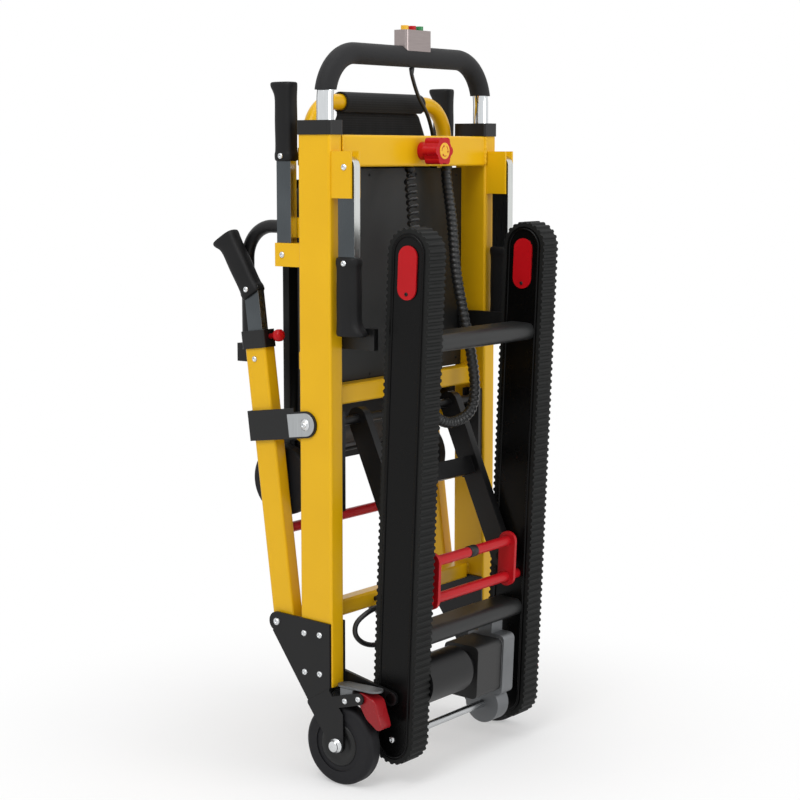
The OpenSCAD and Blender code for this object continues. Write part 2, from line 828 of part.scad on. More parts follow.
// A box that sits astride the push bar, with a well for each button
module control_box() color(steel) on_frame() difference() {
    translate([0, 0, control_foot]) linear_extrude(control_top - control_foot)
        round_rectangle([control_x - control_w / 2, handle_y - control_d / 2 + cut_over],
            [control_x + control_w / 2, handle_y + control_d / 2 + cut_over], control_corner);
    rod_x([-outer_x, outer_x], [handle_y, handle_z], grip_d / 2 + run_gap);
    for (k = [-1 : 1]) translate([control_x + k * button_step, handle_y, control_top - button_room])
        cylinder(d = button_d + 2 * button_gap, h = button_room + cut_over);
}

module push_button(k, shade) color(shade) on_frame() {
    translate([control_x + k * button_step, handle_y, control_top - button_seat])
        cylinder(d = button_d, h = button_seat + button_rise);
}

module yellow_button() push_button(1, "#d9a51c");

module red_button() push_button(0, red);

module green_button() push_button(-1, "#1f8a4c");

// Lobed mushroom head on a neck that slides in the top bar
module estop_head() color(red) on_frame() translate([estop_x, 0, estop_z]) rotate([-90, 0, 0]) {
    lobe = estop_d * estop_lobe_share;
    translate([0, 0, -estop_tail]) cylinder(r = estop_neck_r, h = estop_tail + estop_neck);
    translate([0, 0, estop_neck]) linear_extrude(estop_reach - estop_neck) {
        circle(estop_d / 2 - lobe / 2);
        for (k = [0 : estop_lobes - 1]) rotate(360 * k / estop_lobes)
            translate([estop_d / 2 - lobe, 0]) circle(lobe);
    }
}

// Carry handles

module rear_bar(s) color(steel) on_side(s) difference() {
    plate_x([upright_x - carry_bar_t / 2, upright_x + carry_bar_t / 2])
        link_outline(rear_pivot, [rear_pivot[0], rear_bar_foot], rear_bar_d);
    rod_x([inner_x, outer_x], rear_pivot, carry_pin_r + run_gap);
}

module rear_grip(s) color(black) on_side(s) difference() {
    translate([upright_x, rear_pivot[0], rear_grip_top]) rotate([180, 0, 0])
        rubber_grip(rear_grip_d, carry_grip_l);
    plate_x([upright_x - carry_bar_t / 2, upright_x + carry_bar_t / 2])
        link_outline(rear_pivot, [rear_pivot[0], rear_bar_foot], rear_bar_d);
}

module front_bar_outline() {
    link_outline(front_pivot, [front_pivot[0], front_bar_top], front_bar_d);
}

module front_bar(s) color(steel) on_side(s) difference() {
    plate_x([upright_x - carry_bar_t / 2, upright_x + carry_bar_t / 2]) front_bar_outline();
    rod_x([inner_x, outer_x], front_pivot, carry_pin_r + run_gap);
}

module front_grip(s) color(black) on_side(s) difference() {
    translate([upright_x, front_pivot[0], front_grip_foot]) rubber_grip(front_grip_d, carry_grip_l);
    plate_x([upright_x - carry_bar_t / 2, upright_x + carry_bar_t / 2]) front_bar_outline();
}

module rear_handle_left() rear_bar(1);
module rear_handle_right() rear_bar(-1);
module rear_grip_left() rear_grip(1);
module rear_grip_right() rear_grip(-1);
module front_handle_left() front_bar(1);
module front_handle_right() front_bar(-1);
module front_grip_left() front_grip(1);
module front_grip_right() front_grip(-1);

// Leg frame

module leg_tubes() color(yellow) on_both() at_leg() difference() {
    box_tube([leg_inner, leg_inner + leg_w], [leg_front, leg_front + leg_d], [leg_foot, leg_l], tube_wall);
    rod_x([inner_x, outer_x], [0, 0], pivot_r + run_gap);
    rod_x([leg_inner - cut_over, upright_x], [front_arm_y, front_hub_up + front_arm_l],
        front_axle_r + run_gap);
}

module foot_bar() color(red) on_frame() at_leg() {
    rod_x([-leg_inner, leg_inner], [leg_mid, foot_bar_up], foot_bar_r);
}

module leg_collars() color(black) on_both() at_leg() difference() {
    round_block([leg_inner, leg_inner + leg_w + leg_cap_lip],
        [leg_front - leg_cap_lip, leg_front + leg_d + leg_cap_lip], [leg_l, leg_l + leg_cap_h], tube_corner);
    leg_bar_room(run_gap);
}

module leg_bar_room(gap) {
    block([upright_x - carry_bar_t / 2 - gap, upright_x + carry_bar_t / 2 + gap],
        [leg_mid - leg_bar_d / 2 - gap, leg_mid + leg_bar_d / 2 + gap], [leg_bar_tail, leg_bar_top]);
}

// A strap round each leg's front, with a round clasp that lies on the upright
module leg_straps() color(black) on_both() at_leg() {
    out = outer_x + skin_gap;
    block([leg_inner, out + strap_t], [leg_front - strap_t, leg_front], strap_up);
    plate_x([out, out + strap_t]) {
        translate([leg_front - strap_t, strap_up[0]])
            square([clasp_at[0] - clasp_r - leg_front + strap_t, strap_up[1] - strap_up[0]]);
        translate(clasp_at) circle(clasp_r);
        translate([clasp_at[0] - clasp_r, clasp_at[1] - clasp_r]) square([clasp_r, 2 * clasp_r]);
    }
    rod_x([out + strap_t, out + strap_t + clasp_boss_h], clasp_at, clasp_boss_r);
}

module leg_bar(s) color(steel) on_side(s) at_leg() leg_bar_room(0);

module leg_grip(s) color(black) on_side(s) at_leg() difference() {
    translate([upright_x, leg_mid, leg_bar_top - leg_bar_d / 2]) rotate([leg_grip_tilt, 0, 0])
        rubber_grip(leg_grip_d, leg_grip_l);
    leg_bar_room(0);
}

module leg_handle_left() leg_bar(1);
module leg_handle_right() leg_bar(-1);
module leg_grip_left() leg_grip(1);
module leg_grip_right() leg_grip(-1);

module front_arm(s) color(black) on_side(s) at_leg() {
    hub = [front_arm_y, front_hub_up];
    pivot = [front_arm_y, front_hub_up + front_arm_l];
    plate_x([arm_inner, arm_outer]) link_outline(hub, pivot, front_arm_w);
    rod_x([front_wheel_in, arm_inner], hub, front_axle_r);
    rod_x([arm_outer, leg_inner + 2 * tube_wall], pivot, front_axle_r);
}

module front_wheel(s) color(black) on_side(s) at_leg() {
    translate([0, front_arm_y, front_hub_up]) wheel([front_wheel_in, front_wheel_out], front_wheel_d / 2,
        front_tread_r, front_wheel_d / 2 * front_rim_share, front_axle_r + run_gap);
}

module front_arm_left() front_arm(1);
module front_arm_right() front_arm(-1);
module front_wheel_left() front_wheel(1);
module front_wheel_right() front_wheel(-1);

// Seat, folded up: the board faces the front and the cushion faces the back

module seat_board() color(black) on_frame() {
    block([-seat_half, seat_half], [seat_front, seat_front + seat_board_t], [seat_foot, seat_foot + seat_l]);
    for (s = [0, 1]) mirror([s, 0, 0]) difference() {
        plate_x([seat_half - seat_lug_t, seat_half]) {
            translate([seat_hinge_y, seat_hinge_z]) circle(seat_lug_r);
            translate([seat_front + seat_board_t, seat_hinge_z - seat_lug_r])
                square([seat_hinge_y - seat_front - seat_board_t, 2 * seat_lug_r]);
        }
        rod_x([seat_half - 2 * seat_lug_t, seat_half + cut_over], [seat_hinge_y, seat_hinge_z],
            seat_pin_r + run_gap);
    }
}

// A crowned pad whose sides are drawn in between its corners
module seat_cushion() color(black) on_frame() {
    n = cushion_cells[0];
    m = cushion_cells[1];
    y0 = seat_front + seat_board_t;
    half_l = seat_l / 2 - cushion_draw;
    mid_z = seat_foot + seat_l / 2;
    edge = cushion_t * cushion_edge_share;
    place = function(i, j, face)
        let (u = 2 * i / n - 1, v = 2 * j / m - 1,
            x = u * (cushion_half - cushion_draw * cos(90 * v)),
            z = mid_z + v * (half_l - cushion_draw * cos(90 * u)),
            crown = edge + (cushion_t - edge) * sqrt(max(0, (1 - u * u * u * u) * (1 - v * v * v * v))))
        [x, face == 0 ? y0 : y0 + crown, z];
    row = n + 1;
    sheet = row * (m + 1);
    points = [for (face = [0, 1], j = [0 : m], i = [0 : n]) place(i, j, face)];
    flats = [for (j = [0 : m - 1], i = [0 : n - 1]) let (a = j * row + i, b = a + 1, c = a + row, d = c + 1)
        each [[a, c, b], [b, c, d], [sheet + a, sheet + b, sheet + c], [sheet + b, sheet + d, sheet + c]]];
    rim = concat([for (i = [0 : n - 1]) i], [for (j = [0 : m - 1]) j * row + n],
        [for (i = [0 : n - 1]) m * row + n - i], [for (j = [0 : m - 1]) (m - j) * row]);
    walls = [for (k = [0 : len(rim) - 1]) let (a = rim[k], b = rim[(k + 1) % len(rim)])
        each [[a, b, sheet + a], [b, sheet + b, sheet + a]]];
    polyhedron(points = points, faces = concat(flats, walls));
}

// A bent tube that hangs from its hinge, with an eye at the hinge and a block at its end
module armrest(s) color(black) on_side(s) {
    y1 = armrest_pivot[0] - armrest_out;
    z1 = armrest_pivot[1] - armrest_bend;
    y2 = y1 - armrest_bend;
    z2 = z1 - armrest_drop;
    difference() {
        union() {
            rod_x([armrest_x - armrest_eye_half, armrest_x + armrest_eye_half], armrest_pivot, armrest_eye_r);
            translate([armrest_x, y1, armrest_pivot[1]]) rotate([-90, 0, 0])
                cylinder(r = armrest_r, h = armrest_out);
            translate([armrest_x, y1, z1]) rotate([180, -90, 0])
                rotate_extrude(angle = 90) translate([armrest_bend, 0]) circle(armrest_r);
            translate([armrest_x, y2, z2]) cylinder(r = armrest_r, h = armrest_drop);
            translate([armrest_x - armrest_block[0] / 2, y2 - armrest_block[1] / 2, z2 - armrest_block[2]])
                cube(armrest_block);
        }
        rod_x([armrest_x - armrest_eye_r, inner_x], armrest_pivot, armrest_pin_r + run_gap);
    }
}

module armrest_left() armrest(1);
module armrest_right() armrest(-1);

// Track unit

// A rail closed on both sides, open at its ends for the pulleys, with stub pins for the swing and strut
module track_rails() color(black) on_both() at_track() {
    difference() {
        plate_x([track_in, track_out]) track_outline(rail_r);
        for (w = [0, track_l]) {
            rod_x([track_in + cheek_t, track_out - cheek_t], [0, w], rail_r + pulley_gap);
            rod_x([track_in - cut_over, track_out - shaft_tail], [0, w], shaft_r + run_gap);
        }
        rod_x([track_in - cut_over, track_in + release_seat], release_at, release_r + run_gap);
    }
    rod_x([track_out, track_out + swing_gap + swing_arm_t], swing_at, swing_pin_r);
    rod_x([track_in - strut_gap - strut_t, track_in], strut_at, strut_pin_r);
}

// The ribbed belt, as one outline with a rib at each pitch
module track_belts() color(black) on_both() at_track() {
    step = track_loop / rib_count;
    flank = step * rib_flank_share;
    crown = step * rib_crown_share;
    outer = [for (k = [0 : rib_count - 1]) let (s = k * step)
        each [belt_point(s, 0), belt_point(s + flank, rib_h), belt_point(s + flank + crown, rib_h),
            belt_point(s + 2 * flank + crown, 0)]];
    plate_x([track_in, track_out]) difference() {
        polygon(outer);
        track_outline(rail_r);
    }
}

module track_covers() color(red) on_both() at_track() {
    half = (cover_h - cover_w) / 2;
    for (x = [track_in - cover_t, track_out]) plate_x([x, x + cover_t])
        link_outline([0, cover_up - half], [0, cover_up + half], cover_w);
}

module track_crossbars() color(grey) on_frame() at_track() {
    half = (oval_bar_d - oval_bar_h) / 2;
    for (w = oval_bar_up) plate_x([-track_in, track_in]) link_outline([-half, w], [half, w], oval_bar_h);
}

module motor() color(black) on_frame() at_track() {
    rod_x(motor_span, motor_at, motor_d / 2);
    rod_x([gear_cover_x[1], motor_span[0]], motor_at, motor_d / 2 * motor_neck_share);
}

// Gear cover and cast housing round the drive shaft, with a lug up to the lower cross bar
module gearbox() color("#85868a") on_frame() at_track() difference() {
    union() {
        plate_x(gear_cover_x) round_rectangle([gear_cover_y[0], gear_cover_z[0]],
            [gear_cover_y[1], gear_cover_z[1]], gear_corner);
        plate_x(gear_house_x) {
            round_rectangle([gear_house_y[0], gear_house_z[0]],
                [gear_house_y[1], gear_house_z[1]], gear_corner);
            circle(gear_house_r);
            translate([-gear_lug_w / 2, gear_house_z[1] - gear_corner])
                square([gear_lug_w, oval_bar_up[0] - oval_bar_h / 2 - gear_house_z[1] + gear_corner]);
        }
    }
    rod_x([gear_house_x[0] - cut_over, gear_cover_x[1] + cut_over], [0, 0], shaft_r + run_gap);
}

module pulley() {
    rod_x([track_in + cheek_t + pulley_gap, track_out - cheek_t - pulley_gap], [0, 0], rail_r - pulley_gap);
}

// One steel shaft with a pulley in each track
module drive_shaft() color(steel) on_frame() at_track() {
    rod_x([-track_out + shaft_tail + slide_gap, track_out - shaft_tail - slide_gap], [0, 0], shaft_r);
    for (s = [0, 1]) mirror([s, 0, 0]) pulley();
}

module idler_pulleys() color(steel) on_both() at_track() translate([0, 0, track_l]) {
    pulley();
    rod_x([track_in + slide_gap, track_out - shaft_tail - slide_gap], [0, 0], shaft_r);
}

// Two struts joined by a cross bar, with a rod at the top that runs in the guides
module folding_strut() color(black) on_frame() {
    low = track_point(strut_at);
    reach = norm(strut_top - low);
    cross_up = reach * strut_cross_share;
    translate([0, low[0], low[1]]) rotate([atan2(low[0] - strut_top[0], strut_top[1] - low[1]), 0, 0]) {
        difference() {
            for (x = [-strut_out, strut_out - strut_t])
                plate_x([x, x + strut_t]) link_outline([0, 0], [0, reach], strut_w);
            rod_x([-track_in, track_in], [0, 0], strut_pin_r + run_gap);
        }
        block([-strut_out + strut_t / 2, strut_out - strut_t / 2], [-strut_t / 2, strut_t / 2],
            [cross_up - strut_cross_w / 2, cross_up + strut_cross_w / 2]);
        rod_x([-inner_x + guide_web + slide_gap, inner_x - guide_web - slide_gap], [0, reach], strut_rod_r);
    }
}

// A loop to pull with the foot: its lower bar turns in the rails
module release_loop() color(red) on_frame() at_track() {
    upper = [release_at[0], release_at[1] + release_rise];
    rod_x([-track_in - release_seat + slide_gap, track_in + release_seat - slide_gap], release_at, release_r);
    rod_x([-release_half, release_half], upper, release_r);
    for (s = [0, 1]) mirror([s, 0, 0]) plate_x([release_half - release_plate_t, release_half])
        link_outline(release_at, upper, release_plate_w);
}

// Rear wheels and brakes

module rear_wheel(s) color(black) on_side(s) translate([0, axle[0], axle[1]]) {
    wheel([wheel_x - wheel_w / 2, wheel_x + wheel_w / 2], wheel_d / 2, tread_r, wheel_d / 2 * rim_share,
        axle_r + run_gap);
}

// A fan-shaped foot pedal that turns on the fork's pin
module brake_pedal(s) color(red) on_side(s) difference() {
    plate_x([wheel_x - pedal_w / 2, wheel_x + pedal_w / 2]) translate(fork_tail) polygon(pedal_fan);
    rod_x([inner_x, outer_x + wheel_w], fork_tail, pedal_pin_r + run_gap);
}

module rear_wheel_left() rear_wheel(1);
module rear_wheel_right() rear_wheel(-1);
module brake_pedal_left() brake_pedal(1);
module brake_pedal_right() brake_pedal(-1);

uprights();
frame_crossbars();
back_tube();
upright_collars();
battery_case();
battery_pack();
backrest();
bottom_plates();
frame_brackets();
track_guides();
wheel_forks();
brake_guards();
handle_cable();
frame_cables();
curly_cord();
handle_tube();
handle_grip();
control_box();
yellow_button();
red_button();
green_button();
estop_head();
rear_handle_left();
rear_handle_right();
rear_grip_left();
rear_grip_right();
front_handle_left();
front_handle_right();
front_grip_left();
front_grip_right();
leg_tubes();
foot_bar();
leg_collars();
leg_straps();
leg_handle_left();
leg_handle_right();
leg_grip_left();
leg_grip_right();
front_arm_left();
front_arm_right();
front_wheel_left();
front_wheel_right();
seat_board();
seat_cushion();
armrest_left();
armrest_right();
track_rails();
track_belts();
track_covers();
track_crossbars();
motor();
gearbox();
drive_shaft();
idler_pulleys();
folding_strut();
release_loop();
rear_wheel_left();
rear_wheel_right();
brake_pedal_left();
brake_pedal_right();
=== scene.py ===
"""Looks of a folded stair climbing wheelchair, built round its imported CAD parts.

Metres, in the row frame: +Z up, +Y to the rear where the tracks are, +X to the sitter's left.
Places are written in millimetres from the floor and the uprights' rear faces, as in the part's source.
"""
import json
import math

import bmesh
import bpy
from mathutils import Matrix, Vector

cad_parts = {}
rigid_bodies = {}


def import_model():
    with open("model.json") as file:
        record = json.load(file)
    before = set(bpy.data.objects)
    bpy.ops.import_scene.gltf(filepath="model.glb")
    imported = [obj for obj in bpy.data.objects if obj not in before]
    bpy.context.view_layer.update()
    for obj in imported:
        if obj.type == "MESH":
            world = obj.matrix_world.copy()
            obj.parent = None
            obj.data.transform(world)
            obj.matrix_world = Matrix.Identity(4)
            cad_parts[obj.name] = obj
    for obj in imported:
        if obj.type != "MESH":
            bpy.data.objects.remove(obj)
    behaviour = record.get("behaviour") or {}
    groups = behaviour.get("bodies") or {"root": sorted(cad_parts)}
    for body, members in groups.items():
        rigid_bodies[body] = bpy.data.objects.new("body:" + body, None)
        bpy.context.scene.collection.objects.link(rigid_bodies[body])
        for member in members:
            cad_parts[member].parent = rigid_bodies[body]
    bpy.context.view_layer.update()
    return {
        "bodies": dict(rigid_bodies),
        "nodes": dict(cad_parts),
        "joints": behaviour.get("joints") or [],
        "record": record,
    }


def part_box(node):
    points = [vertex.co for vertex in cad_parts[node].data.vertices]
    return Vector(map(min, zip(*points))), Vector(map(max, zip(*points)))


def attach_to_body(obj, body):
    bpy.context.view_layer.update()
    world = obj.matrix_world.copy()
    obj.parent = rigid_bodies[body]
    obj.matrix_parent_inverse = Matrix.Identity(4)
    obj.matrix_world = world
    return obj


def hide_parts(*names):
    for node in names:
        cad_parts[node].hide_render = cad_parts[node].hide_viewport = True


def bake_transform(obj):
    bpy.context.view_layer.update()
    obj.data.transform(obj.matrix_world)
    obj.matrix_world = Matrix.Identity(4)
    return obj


# Millimetres, and pairs that are (y, z) on the frame or (across, along) on a leg
REAR_FACE_Y = 40.75
LEG_PIVOT = (-104, 236)
DRIVE_SHAFT = (80, 72)
WHEEL_CENTRE = (12, 62.5)
CLASP_BOLT = (97, 298)
TRACK_LENGTH = 729
RAIL_X = 172
HANDLE_X = 201
OUTER_PLATE_X = 220
FORK_X = 221.5
LEG_LEAN = math.radians(7.3)
TRACK_LEAN = math.radians(2.4)
SIDES = {1: "left", -1: "right"}


def place(x, y, z):
    """A point in metres from millimetres measured at the uprights' rear faces."""
    return Vector((x, y + REAR_FACE_Y, z)) / 1000


def on_leg(x, across, along):
    """A point given across and along the folded leg from its pivot."""
    y = LEG_PIVOT[0] + across * math.cos(LEG_LEAN) - along * math.sin(LEG_LEAN)
    z = LEG_PIVOT[1] + across * math.sin(LEG_LEAN) + along * math.cos(LEG_LEAN)
    return place(x, y, z)


def on_track(x, across, along):
    """A point given across and along the folded track from the drive shaft."""
    y = DRIVE_SHAFT[0] + across * math.cos(TRACK_LEAN) + along * math.sin(TRACK_LEAN)
    z = DRIVE_SHAFT[1] - across * math.sin(TRACK_LEAN) + along * math.cos(TRACK_LEAN)
    return place(x, y, z)


def linear(code):
    """An sRGB hex colour as linear values, opaque."""
    parts = [int(code[i:i + 2], 16) / 255 for i in (1, 3, 5)]
    return [c / 12.92 if c <= 0.04045 else ((c + 0.055) / 1.055) ** 2.4 for c in parts] + [1.0]


def pattern(where, size_mm, **more):
    """A texture's inputs, for a pattern that repeats about every size_mm millimetres."""
    return {"Vector": where, "Scale": 1000 / size_mm, **more}


def join(tree, value, socket):
    """Links a socket to another one or to a node's first output, or sets it to a value."""
    if isinstance(value, bpy.types.Node):
        value = value.outputs[0]
    if isinstance(value, bpy.types.NodeSocket):
        tree.links.new(value, socket)
    else:
        socket.default_value = value


def add(tree, kind, links=None, **settings):
    """Adds a node with its settings, and links or sets its inputs. A short kind is a shader node's."""
    made = tree.nodes.new(kind if "Node" in kind else "ShaderNode" + kind)
    for key, value in settings.items():
        setattr(made, key, value)
    for socket, value in (links or {}).items():
        join(tree, value, made.inputs[socket])
    return made


# Materials


def start_material(name, **sockets):
    """A material with one shader, its constant sockets set, and object coordinates to read."""
    made = bpy.data.materials.new(name)
    made.use_nodes = True
    tree = made.node_tree
    shader = tree.nodes["Principled BSDF"]
    for key, value in sockets.items():
        shader.inputs[key.replace("_", " ")].default_value = value
    coordinates = add(tree, "TexCoord").outputs["Object"]
    return made, tree, shader, coordinates


def tint(tree, shader, factor, dark, light):
    """Runs the base colour from dark to light with a factor."""
    colour = add(tree, "Mix", {0: factor, 6: linear(dark), 7: linear(light)}, data_type="RGBA")
    join(tree, colour.outputs[2], shader.inputs["Base Color"])


def relief(tree, shader, height, depth_mm, strength, edge_mm=0.0):
    """Bumps the surface by a height, with its depth in millimetres, and rounds edges in the shading."""
    bump = add(tree, "Bump", {"Height": height, "Distance": depth_mm / 1000, "Strength": strength})
    if edge_mm:
        edge = add(tree, "Bevel", {"Radius": edge_mm / 1000}, samples=4)
        join(tree, edge, bump.inputs["Normal"])
    join(tree, bump, shader.inputs["Normal"])


def gloss_range(tree, shader, factor, low, high):
    """Runs the roughness from low to high with a factor."""
    span = add(tree, "MapRange", {"Value": factor, "To Min": low, "To Max": high})
    join(tree, span, shader.inputs["Roughness"])


def vary(tree, shader, factor, dark, light, low, high):
    """Runs the base colour from dark to light and the roughness from low to high with one factor."""
    tint(tree, shader, factor, dark, light)
    gloss_range(tree, shader, factor, low, high)


def powder_coat(name, dark, light, low, high, gloss):
    """Powder coated steel: baked paint with an orange peel about 3 mm across and slight cloudiness."""
    made, tree, shader, where = start_material(name, IOR=1.5, Specular_IOR_Level=gloss)
    cloud = add(tree, "TexNoise", pattern(where, 90, Detail=3.0))
    peel = add(tree, "TexNoise", pattern(where, 3, Detail=1.0))
    vary(tree, shader, cloud, dark, light, low, high)
    relief(tree, shader, peel, depth_mm=0.12, strength=0.35, edge_mm=0.8)
    return made


def moulded_plastic(name, dark, light, low, high, grain_mm, depth_mm, gloss=0.5):
    """Moulded ABS: even colour with a fine spark-eroded grain, drawn coarse enough to show."""
    made, tree, shader, where = start_material(name, IOR=1.5, Specular_IOR_Level=gloss)
    cloud = add(tree, "TexNoise", pattern(where, 60, Detail=4.0))
    grain = add(tree, "TexNoise", pattern(where, grain_mm, Detail=2.0))
    vary(tree, shader, cloud, dark, light, low, high)
    relief(tree, shader, grain, depth_mm=depth_mm, strength=0.5, edge_mm=0.6)
    return made


def vulcanised_rubber(name, dark, light, low, high):
    """Moulded rubber: dull, with pale dust in patches and a fine pitted skin."""
    made, tree, shader, where = start_material(name, IOR=1.52, Specular_IOR_Level=0.2)
    dust = add(tree, "TexNoise", pattern(where, 35, Detail=6.0, Roughness=0.6))
    pits = add(tree, "TexVoronoi", pattern(where, 1.6))
    vary(tree, shader, dust, dark, light, low, high)
    relief(tree, shader, pits, depth_mm=0.15, strength=0.4)
    return made


def foam_rubber():
    """Closed-cell foam sleeve: soft black skin with fine pores, drawn about 2 mm apart to show."""
    made, tree, shader, where = start_material("EVA foam, moulded sleeve", IOR=1.45, Sheen_Weight=0.05,
                                               Specular_IOR_Level=0.35)
    pores = add(tree, "TexVoronoi", pattern(where, 1.8))
    vary(tree, shader, pores, "#0d0d0e", "#1d1d1f", 0.62, 0.8)
    relief(tree, shader, pores, depth_mm=0.3, strength=0.5)
    return made


def bare_metal(name, dark, light, low, high, stretch, streak_mm):
    """Drawn or brushed metal: streaks along its length give long soft reflections."""
    made, tree, shader, where = start_material(name, Metallic=1.0)
    turned = add(tree, "Mapping", {"Vector": where, "Scale": stretch})
    streaks = add(tree, "TexNoise", pattern(turned, streak_mm, Detail=3.0))
    vary(tree, shader, streaks, dark, light, low, high)
    relief(tree, shader, streaks, depth_mm=0.03, strength=0.3, edge_mm=0.5)
    return made


def flat_bar_steel():
    """Rolled flat bar steel, darker on its wide faces, which face along X, than on its narrow edges: painted
    shade on the wide faces and a painted highlight on the edges, set by which way a face points.
    """
    made, tree, shader, where = start_material("Steel flat bar, painted shade on wide faces, bright edges", Metallic=1.0)
    turned = add(tree, "Mapping", {"Vector": where, "Scale": (1, 1, 0.03)})
    streaks = add(tree, "TexNoise", pattern(turned, 1.2, Detail=3.0))
    cloud = add(tree, "TexNoise", pattern(where, 80, Detail=3.0))
    # The colour follows which way a face points: faces along X get painted shade, the edges a painted
    # highlight.
    normal = add(tree, "TexCoord").outputs["Normal"]
    parts = add(tree, "SeparateXYZ", {"Vector": normal})
    sideways = add(tree, "Math", {0: parts.outputs["X"]}, operation="ABSOLUTE")
    wide = add(tree, "MapRange", {"Value": sideways, "From Min": 0.55, "From Max": 0.8})
    # Painted shade for the wide faces, and below it a painted highlight for the edges.
    shaded_wide_faces = add(tree, "Mix", {0: cloud, 6: linear("#43474a"), 7: linear("#5c6164")}, data_type="RGBA")
    highlit_edges = add(tree, "Mix", {0: streaks, 6: linear("#bfc2c0"), 7: linear("#dcdedb")}, data_type="RGBA")
    colour = add(tree, "Mix", {0: wide, 6: highlit_edges.outputs[2], 7: shaded_wide_faces.outputs[2]}, data_type="RGBA")
    join(tree, colour.outputs[2], shader.inputs["Base Color"])
    gloss_range(tree, shader, streaks, 0.22, 0.36)
    relief(tree, shader, streaks, depth_mm=0.03, strength=0.3, edge_mm=0.6)
    return made


def cast_metal(name, dark, light, low, high):
    """Sand or die cast alloy, shot blasted: dull grains about 1.5 mm across."""
    made, tree, shader, where = start_material(name, Metallic=0.85)
    grains = add(tree, "TexNoise", pattern(where, 1.5, Detail=3.0))
    cloud = add(tree, "TexNoise", pattern(where, 40, Detail=3.0))
    tint(tree, shader, cloud, dark, light)
    gloss_range(tree, shader, grains, low, high)
    relief(tree, shader, grains, depth_mm=0.18, strength=0.5, edge_mm=1.0)
    return made


def gear_case():
    """Die cast housing with a painted black cover, which is the part on the motor's side of a joint line."""
    made, tree, shader, where = start_material("Aluminium alloy, die cast, with a painted cover")
    grains = add(tree, "TexNoise", pattern(where, 1.5, Detail=3.0))
    cloud = add(tree, "TexNoise", pattern(where, 40, Detail=3.0))
    parts = add(tree, "SeparateXYZ", {"Vector": where})
    joint_x = -0.0669
    cover = add(tree, "Math", {0: parts.outputs["X"], 1: joint_x}, operation="GREATER_THAN")
    bare = add(tree, "Mix", {0: cloud, 6: linear("#66686a"), 7: linear("#7c7e80")}, data_type="RGBA")
    painted = add(tree, "Mix", {0: cloud, 6: linear("#101010"), 7: linear("#1a1a1a")}, data_type="RGBA")
    colour = add(tree, "Mix", {0: cover, 6: bare.outputs[2], 7: painted.outputs[2]}, data_type="RGBA")
    join(tree, colour.outputs[2], shader.inputs["Base Color"])
    metal = add(tree, "MapRange", {"Value": cover, "To Min": 0.85, "To Max": 0.0})
    join(tree, metal, shader.inputs["Metallic"])
    gloss_range(tree, shader, grains, 0.4, 0.58)
    relief(tree, shader, grains, depth_mm=0.15, strength=0.5, edge_mm=1.5)
    return made


def woven_nylon():
    """Plain woven nylon: threads under a millimetre apart, drawn 3.5 mm apart to show close up."""
    made, tree, shader, where = start_material("Nylon cloth, plain woven", IOR=1.53, Sheen_Weight=0.08,
                                               Specular_IOR_Level=0.25)
    # A wave repeats every pi / 10 of its scaled length, which puts the threads 3.5 mm apart
    threads = pattern(where, 11.304, Distortion=0.6)
    warp = add(tree, "TexWave", threads, bands_direction="X")
    weft = add(tree, "TexWave", threads, bands_direction="Z")
    weave = add(tree, "Math", {0: warp.outputs["Fac"], 1: weft.outputs["Fac"]}, operation="MULTIPLY")
    vary(tree, shader, weave, "#0d0e10", "#191a1c", 0.9, 0.72)
    relief(tree, shader, weave, depth_mm=0.12, strength=0.5)
    return made


def grained_vinyl():
    """Embossed vinyl upholstery: rounded grain cells 2 to 3 mm across with creases between."""
    made, tree, shader, where = start_material("Vinyl upholstery, embossed", IOR=1.5, Coat_Weight=0.05)
    cells = add(tree, "TexVoronoi", pattern(where, 2.6), feature="DISTANCE_TO_EDGE")
    cloud = add(tree, "TexNoise", pattern(where, 70, Detail=3.0))
    vary(tree, shader, cloud, "#131314", "#232426", 0.42, 0.56)
    relief(tree, shader, cells, depth_mm=0.3, strength=0.5)
    return made


